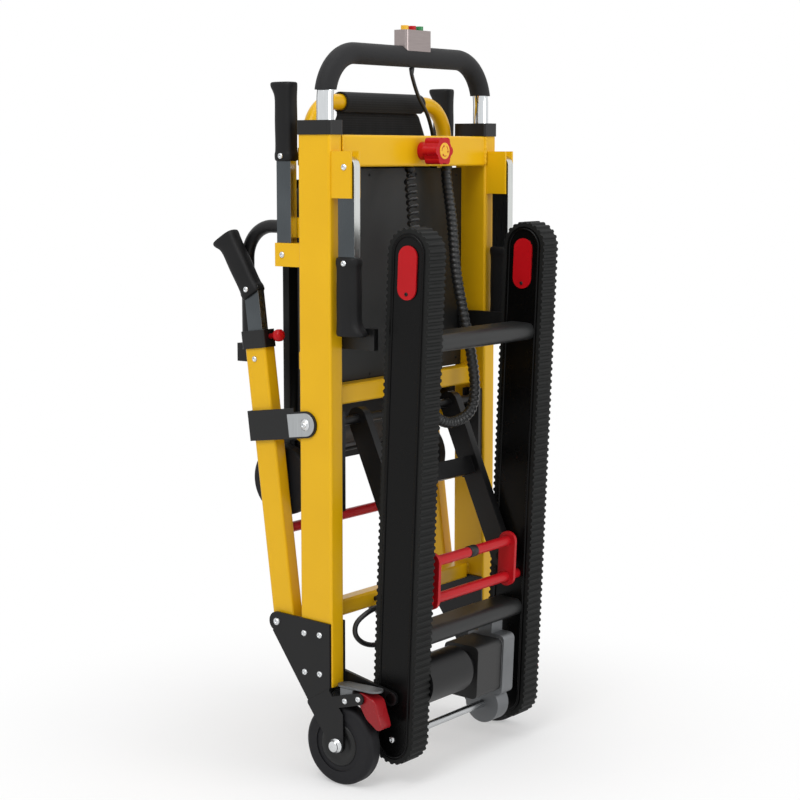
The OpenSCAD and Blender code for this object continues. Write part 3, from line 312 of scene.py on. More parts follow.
# Each kind's finishes: key, name, dark and light colours, low and high roughness, and what the kind adds
FINISHES_OF_KIND = {
    powder_coat: (
        ("yellow_paint", "Powder coat, yellow", "#dda907", "#e7b411", 0.24, 0.36, 0.28),
        ("black_paint", "Powder coat, black", "#0a0a0b", "#131314", 0.34, 0.48, 0.28),
        ("red_paint", "Powder coat, red", "#a80f18", "#bd1720", 0.28, 0.4, 0.2)),
    bare_metal: (
        ("steel", "Steel plate, zinc plated", "#9a9d9f", "#bcbfc0", 0.28, 0.42, (1, 1, 0.03), 1.2),
        ("shaft_steel", "Steel shaft, ground", "#a9abad", "#c9cbcc", 0.2, 0.32, (0.03, 1, 1), 1.2),
        ("chrome", "Steel tube, chrome plated", "#c6c9cb", "#dfe2e4", 0.07, 0.14, (1, 1, 0.1), 6),
        ("aluminium", "Aluminium, satin anodised", "#8f8584", "#a39896", 0.26, 0.38, (0.05, 1, 1), 1.5),
        ("zinc", "Steel screw, zinc plated", "#c2c4c6", "#e4e6e7", 0.16, 0.28, (1, 1, 1), 2)),
    cast_metal: (("cast_alloy", "Aluminium alloy, die cast", "#66686a", "#7c7e80", 0.42, 0.6),),
    vulcanised_rubber: (
        ("grip_rubber", "Rubber grip, moulded", "#0c0c0d", "#161617", 0.46, 0.62),
        ("belt_rubber", "Rubber belt, ribbed", "#0c0d0d", "#181918", 0.55, 0.75),
        ("tyre", "Rubber tyre, moulded", "#121214", "#202023", 0.52, 0.7)),
    moulded_plastic: (
        ("black_plastic", "ABS, moulded black", "#0a0a0b", "#131414", 0.36, 0.5, 1.4, 0.12, 0.35),
        ("rail_plastic", "Rail cover, moulded black", "#040404", "#090909", 0.22, 0.34, 1.8, 0.06, 0.14),
        ("grey_plastic", "ABS, moulded dark grey", "#171818", "#232424", 0.36, 0.5, 1.4, 0.12, 0.35),
        ("red_plastic", "ABS, moulded red", "#aa0c14", "#bd151d", 0.2, 0.32, 2.5, 0.04, 0.18),
        # The pedals' finish is a darker copy of the moulded red plastic.
        ("pedal_plastic", "ABS, moulded red, darker copy", "#7f1118", "#97171e", 0.2, 0.32, 2.5, 0.04, 0.3),
        ("yellow_plastic", "ABS, moulded yellow", "#e0a812", "#f0bc22", 0.24, 0.36, 2.5, 0.04),
        ("green_plastic", "ABS, moulded green", "#14703a", "#1d8a49", 0.24, 0.36, 2.5, 0.04),
        ("cable_skin", "PVC cable skin", "#121213", "#1d1e1f", 0.4, 0.54, 2, 0.05),
        ("wrap", "Polyethylene spiral wrap", "#131414", "#202122", 0.34, 0.46, 2, 0.05))}


def make_materials():
    """All the finishes by their keys."""
    finishes = {"flat_bar": flat_bar_steel(), "gear_case": gear_case(), "foam": foam_rubber(),
                "cloth": woven_nylon(), "vinyl": grained_vinyl()}
    for kind, rows in FINISHES_OF_KIND.items():
        for key, *values in rows:
            finishes[key] = kind(*values)
    return finishes


# The CAD nodes of each finish, without left and right. The rest are black plastic
NODES_OF_FINISH = {
    "yellow_paint": ("uprights", "frame_crossbars", "back_tube", "frame_brackets", "leg_tubes"),
    "black_paint": ("bottom_plates", "wheel_forks", "motor", "folding_strut", "front_arm", "armrest"),
    "red_paint": ("foot_bar", "release_loop"),
    "grey_plastic": ("battery_case", "track_crossbars", "idler_pulleys"),
    "green_plastic": ("battery_pack", "green_button"),
    "yellow_plastic": ("yellow_button",),
    "red_plastic": ("red_button", "estop_head", "track_covers"),
    "pedal_plastic": ("brake_pedal",),
    "rail_plastic": ("track_rails",),
    "belt_rubber": ("track_belts",),
    "grip_rubber": ("rear_grip", "front_grip", "leg_grip"),
    "tyre": ("front_wheel", "rear_wheel"),
    "flat_bar": ("rear_handle", "front_handle", "leg_handle"),
    "shaft_steel": ("drive_shaft",),
    "chrome": ("handle_tube",),
    "aluminium": ("control_box",),
    "cast_alloy": ("brake_guards",),
    "gear_case": ("gearbox",),
    "foam": ("handle_grip",)}


def dress_nodes(nodes, finishes):
    """Gives each CAD node its finish."""
    finish_of = {node: key for key, names in NODES_OF_FINISH.items() for node in names}
    for name, part in nodes.items():
        plain = name.removesuffix("_left").removesuffix("_right")
        part.data.materials.clear()
        part.data.materials.append(finishes[finish_of.get(plain, "black_plastic")])


# Making meshes


def linked(name, data):
    """A new object in the scene."""
    made = bpy.data.objects.new(name, data)
    bpy.context.collection.objects.link(made)
    return made


def mesh_from(name, bm, smooth):
    """A mesh from a finished bmesh, with its faces turned outward."""
    bmesh.ops.recalc_face_normals(bm, faces=bm.faces)
    mesh = bpy.data.meshes.new(name)
    bm.to_mesh(mesh)
    bm.free()
    for face in mesh.polygons:
        face.use_smooth = smooth
    return mesh


def piece_from(name, bm, material, smooth=True):
    """An object at the origin from a finished bmesh, its doubled points joined."""
    bmesh.ops.remove_doubles(bm, verts=bm.verts, dist=1e-6)
    mesh = mesh_from(name, bm, smooth)
    mesh.materials.append(material)
    return linked(name, mesh)


def settle(made):
    """Replaces an object's modifiers by the mesh they make."""
    graph = bpy.context.evaluated_depsgraph_get()
    mesh = bpy.data.meshes.new_from_object(made.evaluated_get(graph))
    made.modifiers.clear()
    made.data = mesh
    return made


def reshape(made, kind, **settings):
    """Replaces an object's mesh by what one modifier makes of it."""
    modifier = made.modifiers.new(kind, kind)
    for key, value in settings.items():
        setattr(modifier, key, value)
    return settle(made)


def soften(made, width_mm, segments=3, angle=35):
    """Rounds a piece's sharp edges and keeps its flats flat."""
    return reshape(made, "BEVEL", width=width_mm / 1000, segments=segments, limit_method="ANGLE",
                   angle_limit=math.radians(angle), harden_normals=True)


def round_off(made):
    """Smooths a piece by one subdivision."""
    return reshape(made, "SUBSURF", levels=1, render_levels=1)


def attach(made, body, node=None):
    """Rides a piece on a body, and hides the CAD node that it replaces."""
    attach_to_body(made, body)
    if node:
        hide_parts(node)


def around(k, count):
    """The cosine and sine of k parts of a turn that has count parts."""
    angle = 2 * math.pi * k / count
    return math.cos(angle), math.sin(angle)


def arc(middle, radius, start, sweep, steps):
    """Points of a circle in a plane, from a start angle over a sweep in degrees."""
    points = []
    for k in range(steps + 1):
        angle = math.radians(start + sweep * k / steps)
        points.append((middle[0] + radius * math.cos(angle), middle[1] + radius * math.sin(angle)))
    return points


def lathe(profile, centre, direction, steps):
    """Turns a profile of (radius, height) in millimetres about a direction, closed where radius is 0."""
    bm = bmesh.new()
    turn = Matrix.Translation(centre) @ Vector(direction).to_track_quat("Z", "Y").to_matrix().to_4x4()
    rings = []
    for radius, height in profile:
        if radius == 0:
            rings.append([bm.verts.new(turn @ Vector((0, 0, height / 1000)))])
            continue
        ring = []
        for k in range(steps):
            cosine, sine = around(k, steps)
            ring.append(bm.verts.new(turn @ (Vector((radius * cosine, radius * sine, height)) / 1000)))
        rings.append(ring)
    for low, high in zip(rings, rings[1:]):
        for k in range(steps):
            after = (k + 1) % steps
            corners = (low[k % len(low)], low[after % len(low)],
                       high[after % len(high)], high[k % len(high)])
            face = list(dict.fromkeys(corners))
            if len(face) > 2:
                bm.faces.new(face)
    return bm


def bridge(rings):
    """Joins rings that have the same count of points, and closes both ends."""
    bm = bmesh.new()
    rings = [[bm.verts.new(point) for point in ring] for ring in rings]
    for low, high in zip(rings, rings[1:]):
        for k in range(len(low)):
            after = (k + 1) % len(low)
            bm.faces.new((low[k], low[after], high[after], high[k]))
    bm.faces.new(list(reversed(rings[0])))
    bm.faces.new(rings[-1])
    return bm


def framed(points, side=None):
    """Each point of a line, with two directions across it that turn no more than the line does."""
    for i, point in enumerate(points):
        ahead = (points[min(i + 1, len(points) - 1)] - points[max(i - 1, 0)]).normalized()
        if side is None:
            side = ahead.orthogonal().normalized()
        side = (side - ahead * side.dot(ahead)).normalized()
        yield point, side, ahead.cross(side)


def tube(points, radius_at, sides):
    """A closed tube along points, with radius_at(i, k) in metres at ring i and side k."""
    rings = []
    for i, (point, side, over) in enumerate(framed(points)):
        ring = []
        for k in range(sides):
            cosine, sine = around(k, sides)
            ring.append(point + radius_at(i, k) * (cosine * side + sine * over))
        rings.append(ring)
    return bridge(rings)


# Cords: the routes are those of the part's source, in millimetres


HANDLE_ROUTE = (
    (-12, -20, 1075.7), (-12, -20, 1065.7), (-42, -30, 1035), (-89, -45, 1004), (-116, -54, 970),
    (-122, -57, 940), (-122, -57, 922))
WRAP_ROUTE = (
    (-106, -20, 925), (-106, -20, 905), (-112, -14, 840), (-110, -4, 760), (-113, 8, 695), (-123, 17, 628),
    (-127, 22, 570), (-110, 24, 534), (-66, 24, 522), (-25, 26, 530), (4, 26, 552), (18, 16, 578),
    (18, -5, 585), (18, -20, 585))
LOOP_ROUTE = (
    (70, -30, 254), (72, -14, 256), (98, 18, 262), (130, 27, 262), (155, 22, 256), (170, 12, 241),
    (171, 10, 223), (158, 14, 208), (136, 20, 201), (106, 20, 204), (80, 4, 214), (62, -30, 230),
    (60, -42, 241.5))


def curve_point(a, b, c, d, t):
    """A point a share t of the way from b to c, on a smooth curve that also heeds a and d."""
    return 0.5 * (2 * b + (c - a) * t + (2 * a - 5 * b + 4 * c - d) * t ** 2
                  + (3 * b - a - 3 * c + d) * t ** 3)


def smooth_route(points, steps):
    """A smooth line through points, with steps between each two."""
    line = []
    last = len(points) - 1
    for i in range(last):
        a, b, c, d = points[max(i - 1, 0)], points[i], points[i + 1], points[min(i + 2, last)]
        line.extend(curve_point(a, b, c, d, k / steps) for k in range(steps))
    line.append(points[last])
    return line


def even_route(line, count):
    """The same line with evenly spaced points."""
    reach = [0.0]
    for a, b in zip(line, line[1:]):
        reach.append(reach[-1] + (b - a).length)
    made = []
    i = 0
    for k in range(count + 1):
        goal = reach[-1] * k / count
        while i < len(line) - 2 and reach[i + 1] < goal:
            i += 1
        share = (goal - reach[i]) / (reach[i + 1] - reach[i])
        made.append(line[i].lerp(line[i + 1], share))
    return made


def lead_line(route, steps, count):
    """An even line of points through a route's places."""
    return even_route(smooth_route([place(*p) for p in route], steps), count)


def length_of(line):
    """The length along a line of points."""
    return sum((b - a).length for a, b in zip(line, line[1:]))


def make_cords(finishes):
    """The four leads, and the boots that they leave from."""
    skin = finishes["cable_skin"]
    line = lead_line(HANDLE_ROUTE, steps=8, count=40)
    lead = piece_from("handle_lead", tube(line, lambda i, k: 0.003, sides=12), skin)
    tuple(line[-1])
    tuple(line[0])
    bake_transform(lead)
    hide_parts("handle_cable")
    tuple(line[0])
    length_of(line)

    wrap_rings = 420
    wrap_sides = 20
    wrap_pitch = 0.0085
    groove_radius, band_height = 0.0066, 0.0024
    groove_share = 0.4
    wrap_line = lead_line(WRAP_ROUTE, steps=10, count=wrap_rings)
    step = length_of(wrap_line) / wrap_rings

    def wrapped(i, k):
        """The spiral wrap's band: proud for most of its pitch, with a groove between its turns."""
        turn = (i * step / wrap_pitch + k / wrap_sides) % 1.0
        edge = min(turn, 1 - turn)
        return groove_radius + band_height * math.sqrt(min(1.0, edge / groove_share))

    wrap = piece_from("spiral_lead", tube(wrap_line, wrapped, wrap_sides), finishes["wrap"])
    attach(wrap, "frame", "frame_cables")
    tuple(wrap_line[0])
    length_of(wrap_line)

    loop_line = lead_line(LOOP_ROUTE, steps=8, count=72)
    loop = piece_from("motor_lead", tube(loop_line, lambda i, k: 0.004, sides=12), skin)
    attach(loop, "frame", "frame_cables")
    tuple(loop_line[0])
    length_of(loop_line)

    first = place(0, -15, 925)
    last = on_track(131.7, 0, TRACK_LENGTH - 85)
    curl_points = [first, first + Vector((2, 2, -19)) / 1000,
                   first.lerp(last, 0.3) + Vector((-27, -22, 4)) / 1000,
                   first.lerp(last, 0.62) + Vector((-48, -41, 5)) / 1000,
                   last + Vector((-48, -47, 9)) / 1000, last + Vector((-15, -8, 2)) / 1000, last]
    rings = 432
    rings_per_curl = 16
    straight_rings, easing_rings = 8, 24
    curl_radius = 0.0075
    base = even_route(smooth_route(curl_points, 72), rings)
    curls = []
    for i, (point, side, over) in enumerate(framed(base, Vector((1, 0, 0)))):
        share = min(1.0, max(0, min(i, rings - i) - straight_rings) / easing_rings)
        reach = curl_radius * share * share * (3 - 2 * share)
        cosine, sine = around(i, rings_per_curl)
        curls.append(point + reach * (cosine * side + sine * over))
    curly = piece_from("curly_lead", tube(curls, lambda i, k: 0.0025, sides=10), skin)
    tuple(curl_points[0])
    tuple(curl_points[-1])
    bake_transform(curly)
    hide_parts("curly_cord")
    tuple(curls[0])
    length_of(curls)
    make_boots(finishes, line, loop_line, curl_points)


def make_boots(finishes, line, loop_line, curl_points):
    """Tapered boots where the leads leave their housings, each with its (radius, height) profile."""
    boots = (
        ("handle_boot", "push_handle", line[0], (0, 0, -1), ((4.2, 0), (4.2, 2), (3.5, 7), (3.2, 9))),
        ("case_boot", "frame", line[-1], (0, 0, 1), ((6, 0), (6, 5), (4.4, 13), (3.3, 18))),
        ("loop_boot", "frame", loop_line[-1], (0, -0.3, -1), ((6.5, 0), (6.5, 4), (5, 9), (4.3, 12))),
        ("curl_boot", "frame", curl_points[0], (0, 0, -1), ((8, 0), (8, 5), (6, 9), (3, 12))))
    for name, body, centre, direction, profile in boots:
        closed = ((0, 0),) + profile + ((0, profile[-1][1]),)
        turned_piece(name, closed, centre, direction, finishes["black_plastic"], body,
                     steps=24)


# Soft goods


def swell(pad, held_below, cap):
    """Blows a pad up as a sewn cover under pressure, its back held flat, no point moving past a cap."""
    reshape(pad, "REMESH", mode="VOXEL", voxel_size=0.005, use_smooth_shade=True)
    before = [v.co.copy() for v in pad.data.vertices]
    held = pad.vertex_groups.new(name="held")
    held.add([i for i, point in enumerate(before) if point.y < held_below], 1.0, "REPLACE")
    cover = pad.modifiers.new("cover", "CLOTH")
    cover.settings.use_pressure = True
    cover.settings.uniform_pressure_force = 4
    cover.settings.vertex_group_mass = "held"
    cover.settings.effector_weights.gravity = 0
    last_frame = 20
    for frame in range(1, last_frame + 1):
        bpy.context.scene.frame_set(frame)
    settle(pad)
    bpy.context.scene.frame_set(1)
    pad.vertex_groups.clear()
    for vertex, point in zip(pad.data.vertices, before):
        move = vertex.co - point
        if move.length > cap:
            vertex.co = point + move * cap / move.length


def make_cushion(finishes):
    """A crowned vinyl pad that pulls in between its corners, with two sewn channels and a piped edge."""
    low, high = (Vector(c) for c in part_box("seat_cushion"))
    columns, rows = 40, 56
    margin = 0.002
    pull_x, pull_z = 0.006, 0.007
    rim_share, crown_share = 0.42, 0.46
    seam_share = 0.4
    channels = (-0.36, 0.36)
    channel_width, channel_depth = 0.024, 0.007
    deep = high.y - low.y
    middle = (low + high) / 2
    half_x = (high.x - low.x) / 2 - margin
    half_z = (high.z - low.z) / 2 - margin

    def spot(u, v, y):
        """A point of the pad's plan, drawn in between the corners."""
        x = u * (half_x - pull_x * math.cos(math.pi * v / 2))
        z = middle.z + v * (half_z - pull_z * math.cos(math.pi * u / 2))
        return Vector((x, y, z))

    bm = bmesh.new()
    grid = []
    for face in (0, 1):
        sheet = []
        for j in range(rows + 1):
            for i in range(columns + 1):
                u = 2 * i / columns - 1
                v = 2 * j / rows - 1
                crown = (1 - abs(u) ** 5) * (1 - abs(v) ** 5)
                rise = deep * (rim_share + crown_share * crown ** 0.45)
                sheet.append(bm.verts.new(spot(u, v, low.y + face * rise)))
        grid.append(sheet)
    wide = columns + 1
    for face, sheet in enumerate(grid):
        for j in range(rows):
            for i in range(columns):
                a = j * wide + i
                corners = [sheet[a], sheet[a + 1], sheet[a + wide + 1], sheet[a + wide]]
                bm.faces.new(corners if face == 0 else list(reversed(corners)))
    rim = list(range(columns)) + [j * wide + columns for j in range(rows)]
    rim += [rows * wide + columns - i for i in range(columns)] + [(rows - j) * wide for j in range(rows)]
    for a, b in zip(rim, rim[1:] + rim[:1]):
        bm.faces.new((grid[0][a], grid[1][a], grid[1][b], grid[0][b]))
    pad = piece_from("seat_pad", bm, finishes["vinyl"])
    soften(pad, 5, angle=40)
    swell(pad, held_below=low.y + 0.003, cap=0.006)
    for vertex in pad.data.vertices:
        share = (vertex.co.y - low.y) / deep
        v = (vertex.co.z - middle.z) / half_z
        channel = sum(math.exp(-((v - c) / channel_width) ** 2) for c in channels)
        vertex.co.y -= channel_depth * channel * max(0.0, share - seam_share) / (1 - seam_share)
        vertex.co.y = min(vertex.co.y, high.y - 0.0003)
    round_off(pad)
    attach(pad, "seat", "seat_cushion")
    plan = [(2 * (a % wide) / columns - 1, 2 * (a // wide) / rows - 1) for a in rim]
    edge = [spot(u, v, low.y + seam_share * deep) for u, v in plan]
    bead("seat_piping", edge, [(k, (k + 1) % len(edge)) for k in range(len(edge))], 0.0024, "seat",
         finishes["vinyl"])


def make_backrest(finishes):
    """Nylon cloth that goes over the bent tube, is sewn to itself below it and hangs down the back."""
    low, high = (Vector(c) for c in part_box("backrest"))
    tube_z = 1.022
    tube_y = place(0, -72.5, 0).y
    sleeve = 0.0148
    thickness = 0.0018
    narrow_half = 0.1
    flare_height = 0.098
    stitch_pitch = 0.005
    across = 60
    drop = 60
    path = arc((tube_y, tube_z), sleeve, -70, 320, 28)
    seam_z = path[-1][1]
    for k in range(1, drop + 1):
        path.append((tube_y - thickness, seam_z + (low.z + 0.002 - seam_z) * (k / drop)))
    bm = bmesh.new()
    rows = []
    for y, z in path:
        below = max(0.0, min(1.0, (tube_z - 0.012 - z) / flare_height))
        half = narrow_half + (high.x - 0.001 - narrow_half) * below
        row = []
        for i in range(across + 1):
            u = 2 * i / across - 1
            ripple = 0.0009 * math.sin(9 * u + 14 * z) * below + 0.0006 * math.sin(23 * u - 31 * z) * below
            row.append(bm.verts.new((u * half, y + ripple, z)))
        rows.append(row)
    for a, b in zip(rows, rows[1:]):
        for i in range(across):
            bm.faces.new((a[i], a[i + 1], b[i + 1], b[i]))
    area = sum(face.calc_area() for face in bm.faces)
    length = sum(math.dist(a, b) for a, b in zip(path, path[1:]))
    cloth = piece_from("back_cloth", bm, finishes["cloth"])
    reshape(cloth, "SOLIDIFY", thickness=thickness, offset=0)
    attach(cloth, "frame", "backrest")
    stitches = []
    for z, half in ((tube_z - 0.019, narrow_half), (low.z + 0.012, high.x - 0.008)):
        for k in range(int(2 * half / stitch_pitch)):
            middle = Vector((-half + stitch_pitch / 2 + k * stitch_pitch, tube_y + 0.0002, z))
            stitches.append((middle, Vector((0, 1, 0)), 1.0))
    template = stitch_template()
    repeat("back_stitches", stitches, "frame", template, finishes["cloth"], 0.004)
    bpy.data.objects.remove(template)


# Repeats made with Geometry Nodes


def start_tree(name, number):
    """A node group that makes a shape from a shape and a number, its inputs and the number's key."""
    tree = bpy.data.node_groups.new(name, "GeometryNodeTree")
    tree.interface.new_socket("Shape", in_out="INPUT", socket_type="NodeSocketGeometry")
    socket = tree.interface.new_socket(number, in_out="INPUT", socket_type="NodeSocketFloat")
    tree.interface.new_socket("Made", in_out="OUTPUT", socket_type="NodeSocketGeometry")
    return tree, add(tree, "NodeGroupInput").outputs, socket.identifier


def grow(name, mesh, material, tree, shape, key, number):
    """An object that a node group makes from a mesh, ending with a shape in a material."""
    real = add(tree, "GeometryNodeRealizeInstances", {"Geometry": shape})
    painted = add(tree, "GeometryNodeSetMaterial", {"Geometry": real, "Material": material})
    add(tree, "NodeGroupOutput", {"Made": painted})
    made = linked(name, mesh)
    nodes = made.modifiers.new("nodes", "NODES")
    nodes.node_group = tree
    nodes[key] = number
    return settle(made)


def repeat(name, spots, body, template, material, size):
    """A template at each (point, facing, size) spot, turned to its facing, as one mesh on a body."""
    mesh = bpy.data.meshes.new(name)
    mesh.from_pydata([tuple(point) for point, way, head in spots], [], [])
    ways = mesh.attributes.new("facing", "FLOAT_VECTOR", "POINT")
    ways.data.foreach_set("vector", [c for point, way, head in spots for c in way])
    heads = mesh.attributes.new("head", "FLOAT", "POINT")
    heads.data.foreach_set("value", [head for point, way, head in spots])
    tree, given, key = start_tree(name, "Head size")
    shape = add(tree, "GeometryNodeObjectInfo", {"Object": template})
    way = add(tree, "GeometryNodeInputNamedAttribute", {"Name": "facing"}, data_type="FLOAT_VECTOR")
    head = add(tree, "GeometryNodeInputNamedAttribute", {"Name": "head"}, data_type="FLOAT")
    scale = add(tree, "Math", {0: head.outputs["Attribute"], 1: given["Head size"]}, operation="MULTIPLY")
    turn = add(tree, "FunctionNodeAlignRotationToVector", {"Vector": way.outputs["Attribute"]}, axis="Z")
    spread = add(tree, "GeometryNodeInstanceOnPoints", {
        "Points": given["Shape"], "Instance": shape.outputs["Geometry"], "Rotation": turn, "Scale": scale})
    attach(grow(name, mesh, material, tree, spread, key, size), body)


def turned_template(name, profile, steps, smooth=False):
    """An unlinked object to put on points, turned from a profile of (radius, height) in its own units."""
    bm = lathe([(1000 * r, 1000 * h) for r, h in profile], Vector((0, 0, 0)), (0, 0, 1), steps)
    return bpy.data.objects.new(name, mesh_from(name, bm, smooth))


def stitch_template():
    """An unlinked object to put on points: a short raised thread along X, in its own units."""
    bm = tube([Vector((-0.4, 0, 0)), Vector((-0.2, 0, 0.1)), Vector((0.2, 0, 0.1)), Vector((0.4, 0, 0))],
              lambda i, k: 0.1, sides=5)
    return bpy.data.objects.new("stitch_template", mesh_from("stitch_template", bm, smooth=False))


# A button head one unit in radius with a round socket, and a low drop of weld metal
SCREW_PROFILE = ((0, -0.02), (1, -0.02), (1, 0.12), (0.9, 0.34), (0.68, 0.5), (0.46, 0.56), (0.42, 0.2),
                 (0, 0.2))
WELD_PROFILE = ((0, -0.6), (0.8, -0.4), (1, 0), (0.85, 0.32), (0.5, 0.52), (0, 0.6))
# Screws of both sides: their body, how their places are given, their x, then for each screw y and z, or
# across and along, and its head's radius
BRIGHT_SCREWS = (
    ("frame", place, OUTER_PLATE_X,
     ((-50, 226, 5), (-20, 227, 5), (-49, 166, 5), (-20, 167, 5), (*LEG_PIVOT, 6))),
    ("frame", place, FORK_X, ((54, 141, 4.6), (29, 134, 4.6))),
    ("frame", place, 212.5, ((24, 925, 5), (-94, 795, 5))),
    ("leg_frame", on_leg, 213.5, ((6, 402, 4.6),)),
    ("leg_frame", on_leg, 223.3, ((*CLASP_BOLT, 5),)),
    ("track_unit", on_track, RAIL_X, ((0, 0, 5),)),
    ("front_handle", place, 214.4, ((-94, 941, 4.6),)),
    ("rear_handle", place, 214.4, ((24, 786, 4.6),)),
    ("leg_handle", on_leg, 214.4, ((4, 508, 4.6),)))


def make_screws(finishes):
    """Button-head screws and pivot bolts, one mesh for each body and finish."""
    bright = {}
    dark = {"frame": [], "track_unit": []}
    for s, side in SIDES.items():
        for body, where, x, screws in BRIGHT_SCREWS:
            rider = f"{body}_{side}" if body.endswith("_handle") else body
            for a, b, head in screws:
                bright.setdefault(rider, []).append((where(s * x, a, b), Vector((s, 0, 0)), head))
        for x, z in ((172, 612), (172, 910), (172, 760), (60, 912), (60, 606)):
            dark["frame"].append((place(s * x, -47, z), Vector((0, 1, 0)), 2.4))
        for x, way in ((175, 1), (129, -1)):
            dark["track_unit"].append((on_track(s * x, 0, TRACK_LENGTH - 58), Vector((s * way, 0, 0)), 3))
    gearbox_x = -97
    for across, along in ((-24, 28), (28, 28), (-24, 108), (28, 108)):
        bright["track_unit"].append((on_track(gearbox_x, across, along), Vector((-1, 0, 0)), 3))
    template = turned_template("screw_template", SCREW_PROFILE, 12)
    for body, spots in bright.items():
        repeat(body + "_screws", spots, body, template, finishes["zinc"], 0.001)
    for body, spots in dark.items():
        repeat(body + "_black_screws", spots, body, template, finishes["black_paint"], 0.001)
    bpy.data.objects.remove(template)


def make_welds(finishes):
    """Rows of overlapping weld drops where the cross bars meet the uprights."""
    spots = []
    upright_x, pitch, drop_radius, unevenness = 185.4, 2.4, 2.6, 0.35
    seams = (((0.4, 929), (0.4, 968)), ((-36, 925), (-6, 925)), ((-19.6, 573), (-19.6, 597)),
             ((-41, 600), (-24, 600)), ((-29.6, 250), (-29.6, 264)))
    for s in SIDES:
        for (y0, z0), (y1, z1) in seams:
            count = int(math.dist((y0, z0), (y1, z1)) / pitch)
            for k in range(count + 1):
                share = k / count
                middle = place(s * upright_x, y0 + (y1 - y0) * share, z0 + (z1 - z0) * share)
                size = drop_radius + unevenness * math.sin(2.1 * k + s)
                spots.append((middle, Vector((-s, 0.8 if y0 == y1 else 0, 0)), size))
    template = turned_template("bead_template", WELD_PROFILE, 10, smooth=True)
    repeat("weld_beads", spots, "frame", template, finishes["yellow_paint"], 0.001)
    bpy.data.objects.remove(template)


def bead(name, points, edges, radius, body, material):
    """A round bead swept along edges between points, riding on a body."""
    mesh = bpy.data.meshes.new(name)
    mesh.from_pydata([tuple(p) for p in points], edges, [])
    tree, given, key = start_tree(name, "Bead radius")
    curve = add(tree, "GeometryNodeMeshToCurve", {"Mesh": given["Shape"]})
    ring = add(tree, "GeometryNodeCurvePrimitiveCircle", {"Resolution": 10, "Radius": given["Bead radius"]})
    swept = add(tree, "GeometryNodeCurveToMesh", {"Curve": curve, "Profile Curve": ring})
    smooth = add(tree, "GeometryNodeSetShadeSmooth", {"Geometry": swept})
    attach(grow(name, mesh, material, tree, smooth, key, radius), body)


def make_rail_beads(finishes):
    """Round beads that edge the tracks' cheeks, inside the belts."""
    reach = 26.5
    outline = arc((0, TRACK_LENGTH), reach, 0, 180, 24) + arc((0, 0), reach, 180, 180, 24)
    points = []
    edges = []
    for s in SIDES:
        for x in (RAIL_X, 132):
            first = len(points)
            points.extend(on_track(s * x, across, along) for across, along in outline)
            count = len(outline)
            edges.extend((first + k, first + (k + 1) % count) for k in range(count))
    bead("rail_beads", points, edges, 0.002, "track_unit", finishes["rail_plastic"])


# Hand grips


GRIP_DEPTH = 34
GRIP_LENGTH = 117
# Each row is a grip's height, half width, and its reach to the lip's side and to the other side
GRIP_STATIONS = (
    (0, 10.5, -13, 13), (0.8, 12.4, -15.6, 15.6), (3, 13.4, -17, 17), (11, 13.5, -17.2, 17.2),
    (13, 13, -16.4, 16.4), (15, 12.7, -15.9, 15.9), (32, 12.6, -15.6, 15.6), (58, 13.2, -16.6, 16.6),
    (84, 12.7, -15.7, 15.7), (95, 12.8, -16.4, 15.9), (101, 13, -18.6, 16.2), (106, 13.3, -22, 16.6),
    (110, 13.5, -24.4, 17), (114, 13.4, -24.9, 17), (116, 12.6, -23.9, 16.2), (117, 10.4, -21, 13.6))


def make_grip(kind, side, frame, deep, length, rubber):
    """A moulded grip: a collar at its foot, a swell for the palm and a lip on one side of its domed end."""
    sides = 32
    squareness = 0.62
    rings = []
    for up, half, low, high in GRIP_STATIONS:
        ring = []
        for k in range(sides):
            across, along = (math.copysign(abs(c) ** squareness, c) for c in around(k, sides))
            y = ((low + high) / 2 + along * (high - low) / 2) * deep / GRIP_DEPTH
            ring.append(frame @ (Vector((across * half, y, up * length / GRIP_LENGTH)) / 1000))
        rings.append(ring)
    grip = round_off(piece_from(f"{kind}_hand_grip_{side}", bridge(rings), rubber))
    attach(grip, f"{kind}_handle_{side}", f"{kind}_grip_{side}")


def make_grips(finishes):
    """Grips on the frame's front and rear handles and on the leg's, the rear ones upside down."""
    tilt = Matrix.Rotation(LEG_LEAN + math.radians(24), 4, "X")
    upside_down = Matrix.Rotation(math.pi, 4, "X")
    for s, side in SIDES.items():
        x = s * HANDLE_X
        for kind, frame, deep, length in (
                ("front", Matrix.Translation(place(x, -94, 933)), GRIP_DEPTH, GRIP_LENGTH),
                ("rear", Matrix.Translation(place(x, 24, 795)) @ upside_down, 40, GRIP_LENGTH),
                ("leg", Matrix.Translation(on_leg(x, 8, 498)) @ tilt, 38, 106)):
            make_grip(kind, side, frame, deep, length, finishes["grip_rubber"])


# Brake pedals


def make_pedals(finishes):
    """Moulded pedals with the source's fan outline, its corners drawn round and its edges soft."""
    fan = ((-8, -3), (-8, 3), (-3, 8), (4, 8), (15, 4), (26, -2), (32, -19), (38, -36), (37, -42), (30, -44),
           (20, -37.5), (10, -30), (1, -16.5))
    spots = [Vector((0, y, z)) for y, z in fan]
    count = len(spots)
    line = []
    for i in range(count):
        a, b, c, d = (spots[(i + k) % count] for k in (-1, 0, 1, 2))
        line.extend(curve_point(a, b, c, d, k / 4) for k in range(4))
    for side in SIDES.values():
        low, high = (Vector(c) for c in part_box("brake_pedal_" + side))
        hub = 0.008
        centre = Vector((0, low.y + hub, high.z - hub))
        rings = [[centre + point / 1000 + Vector((x, 0, 0)) for point in line] for x in (low.x, high.x)]
        pedal = piece_from("red_pedal_" + side, bridge(rings), finishes["pedal_plastic"])
        soften(pedal, 2.5, segments=4, angle=50)
        attach(pedal, "brake_pedal_" + side, "brake_pedal_" + side)


# Small fittings


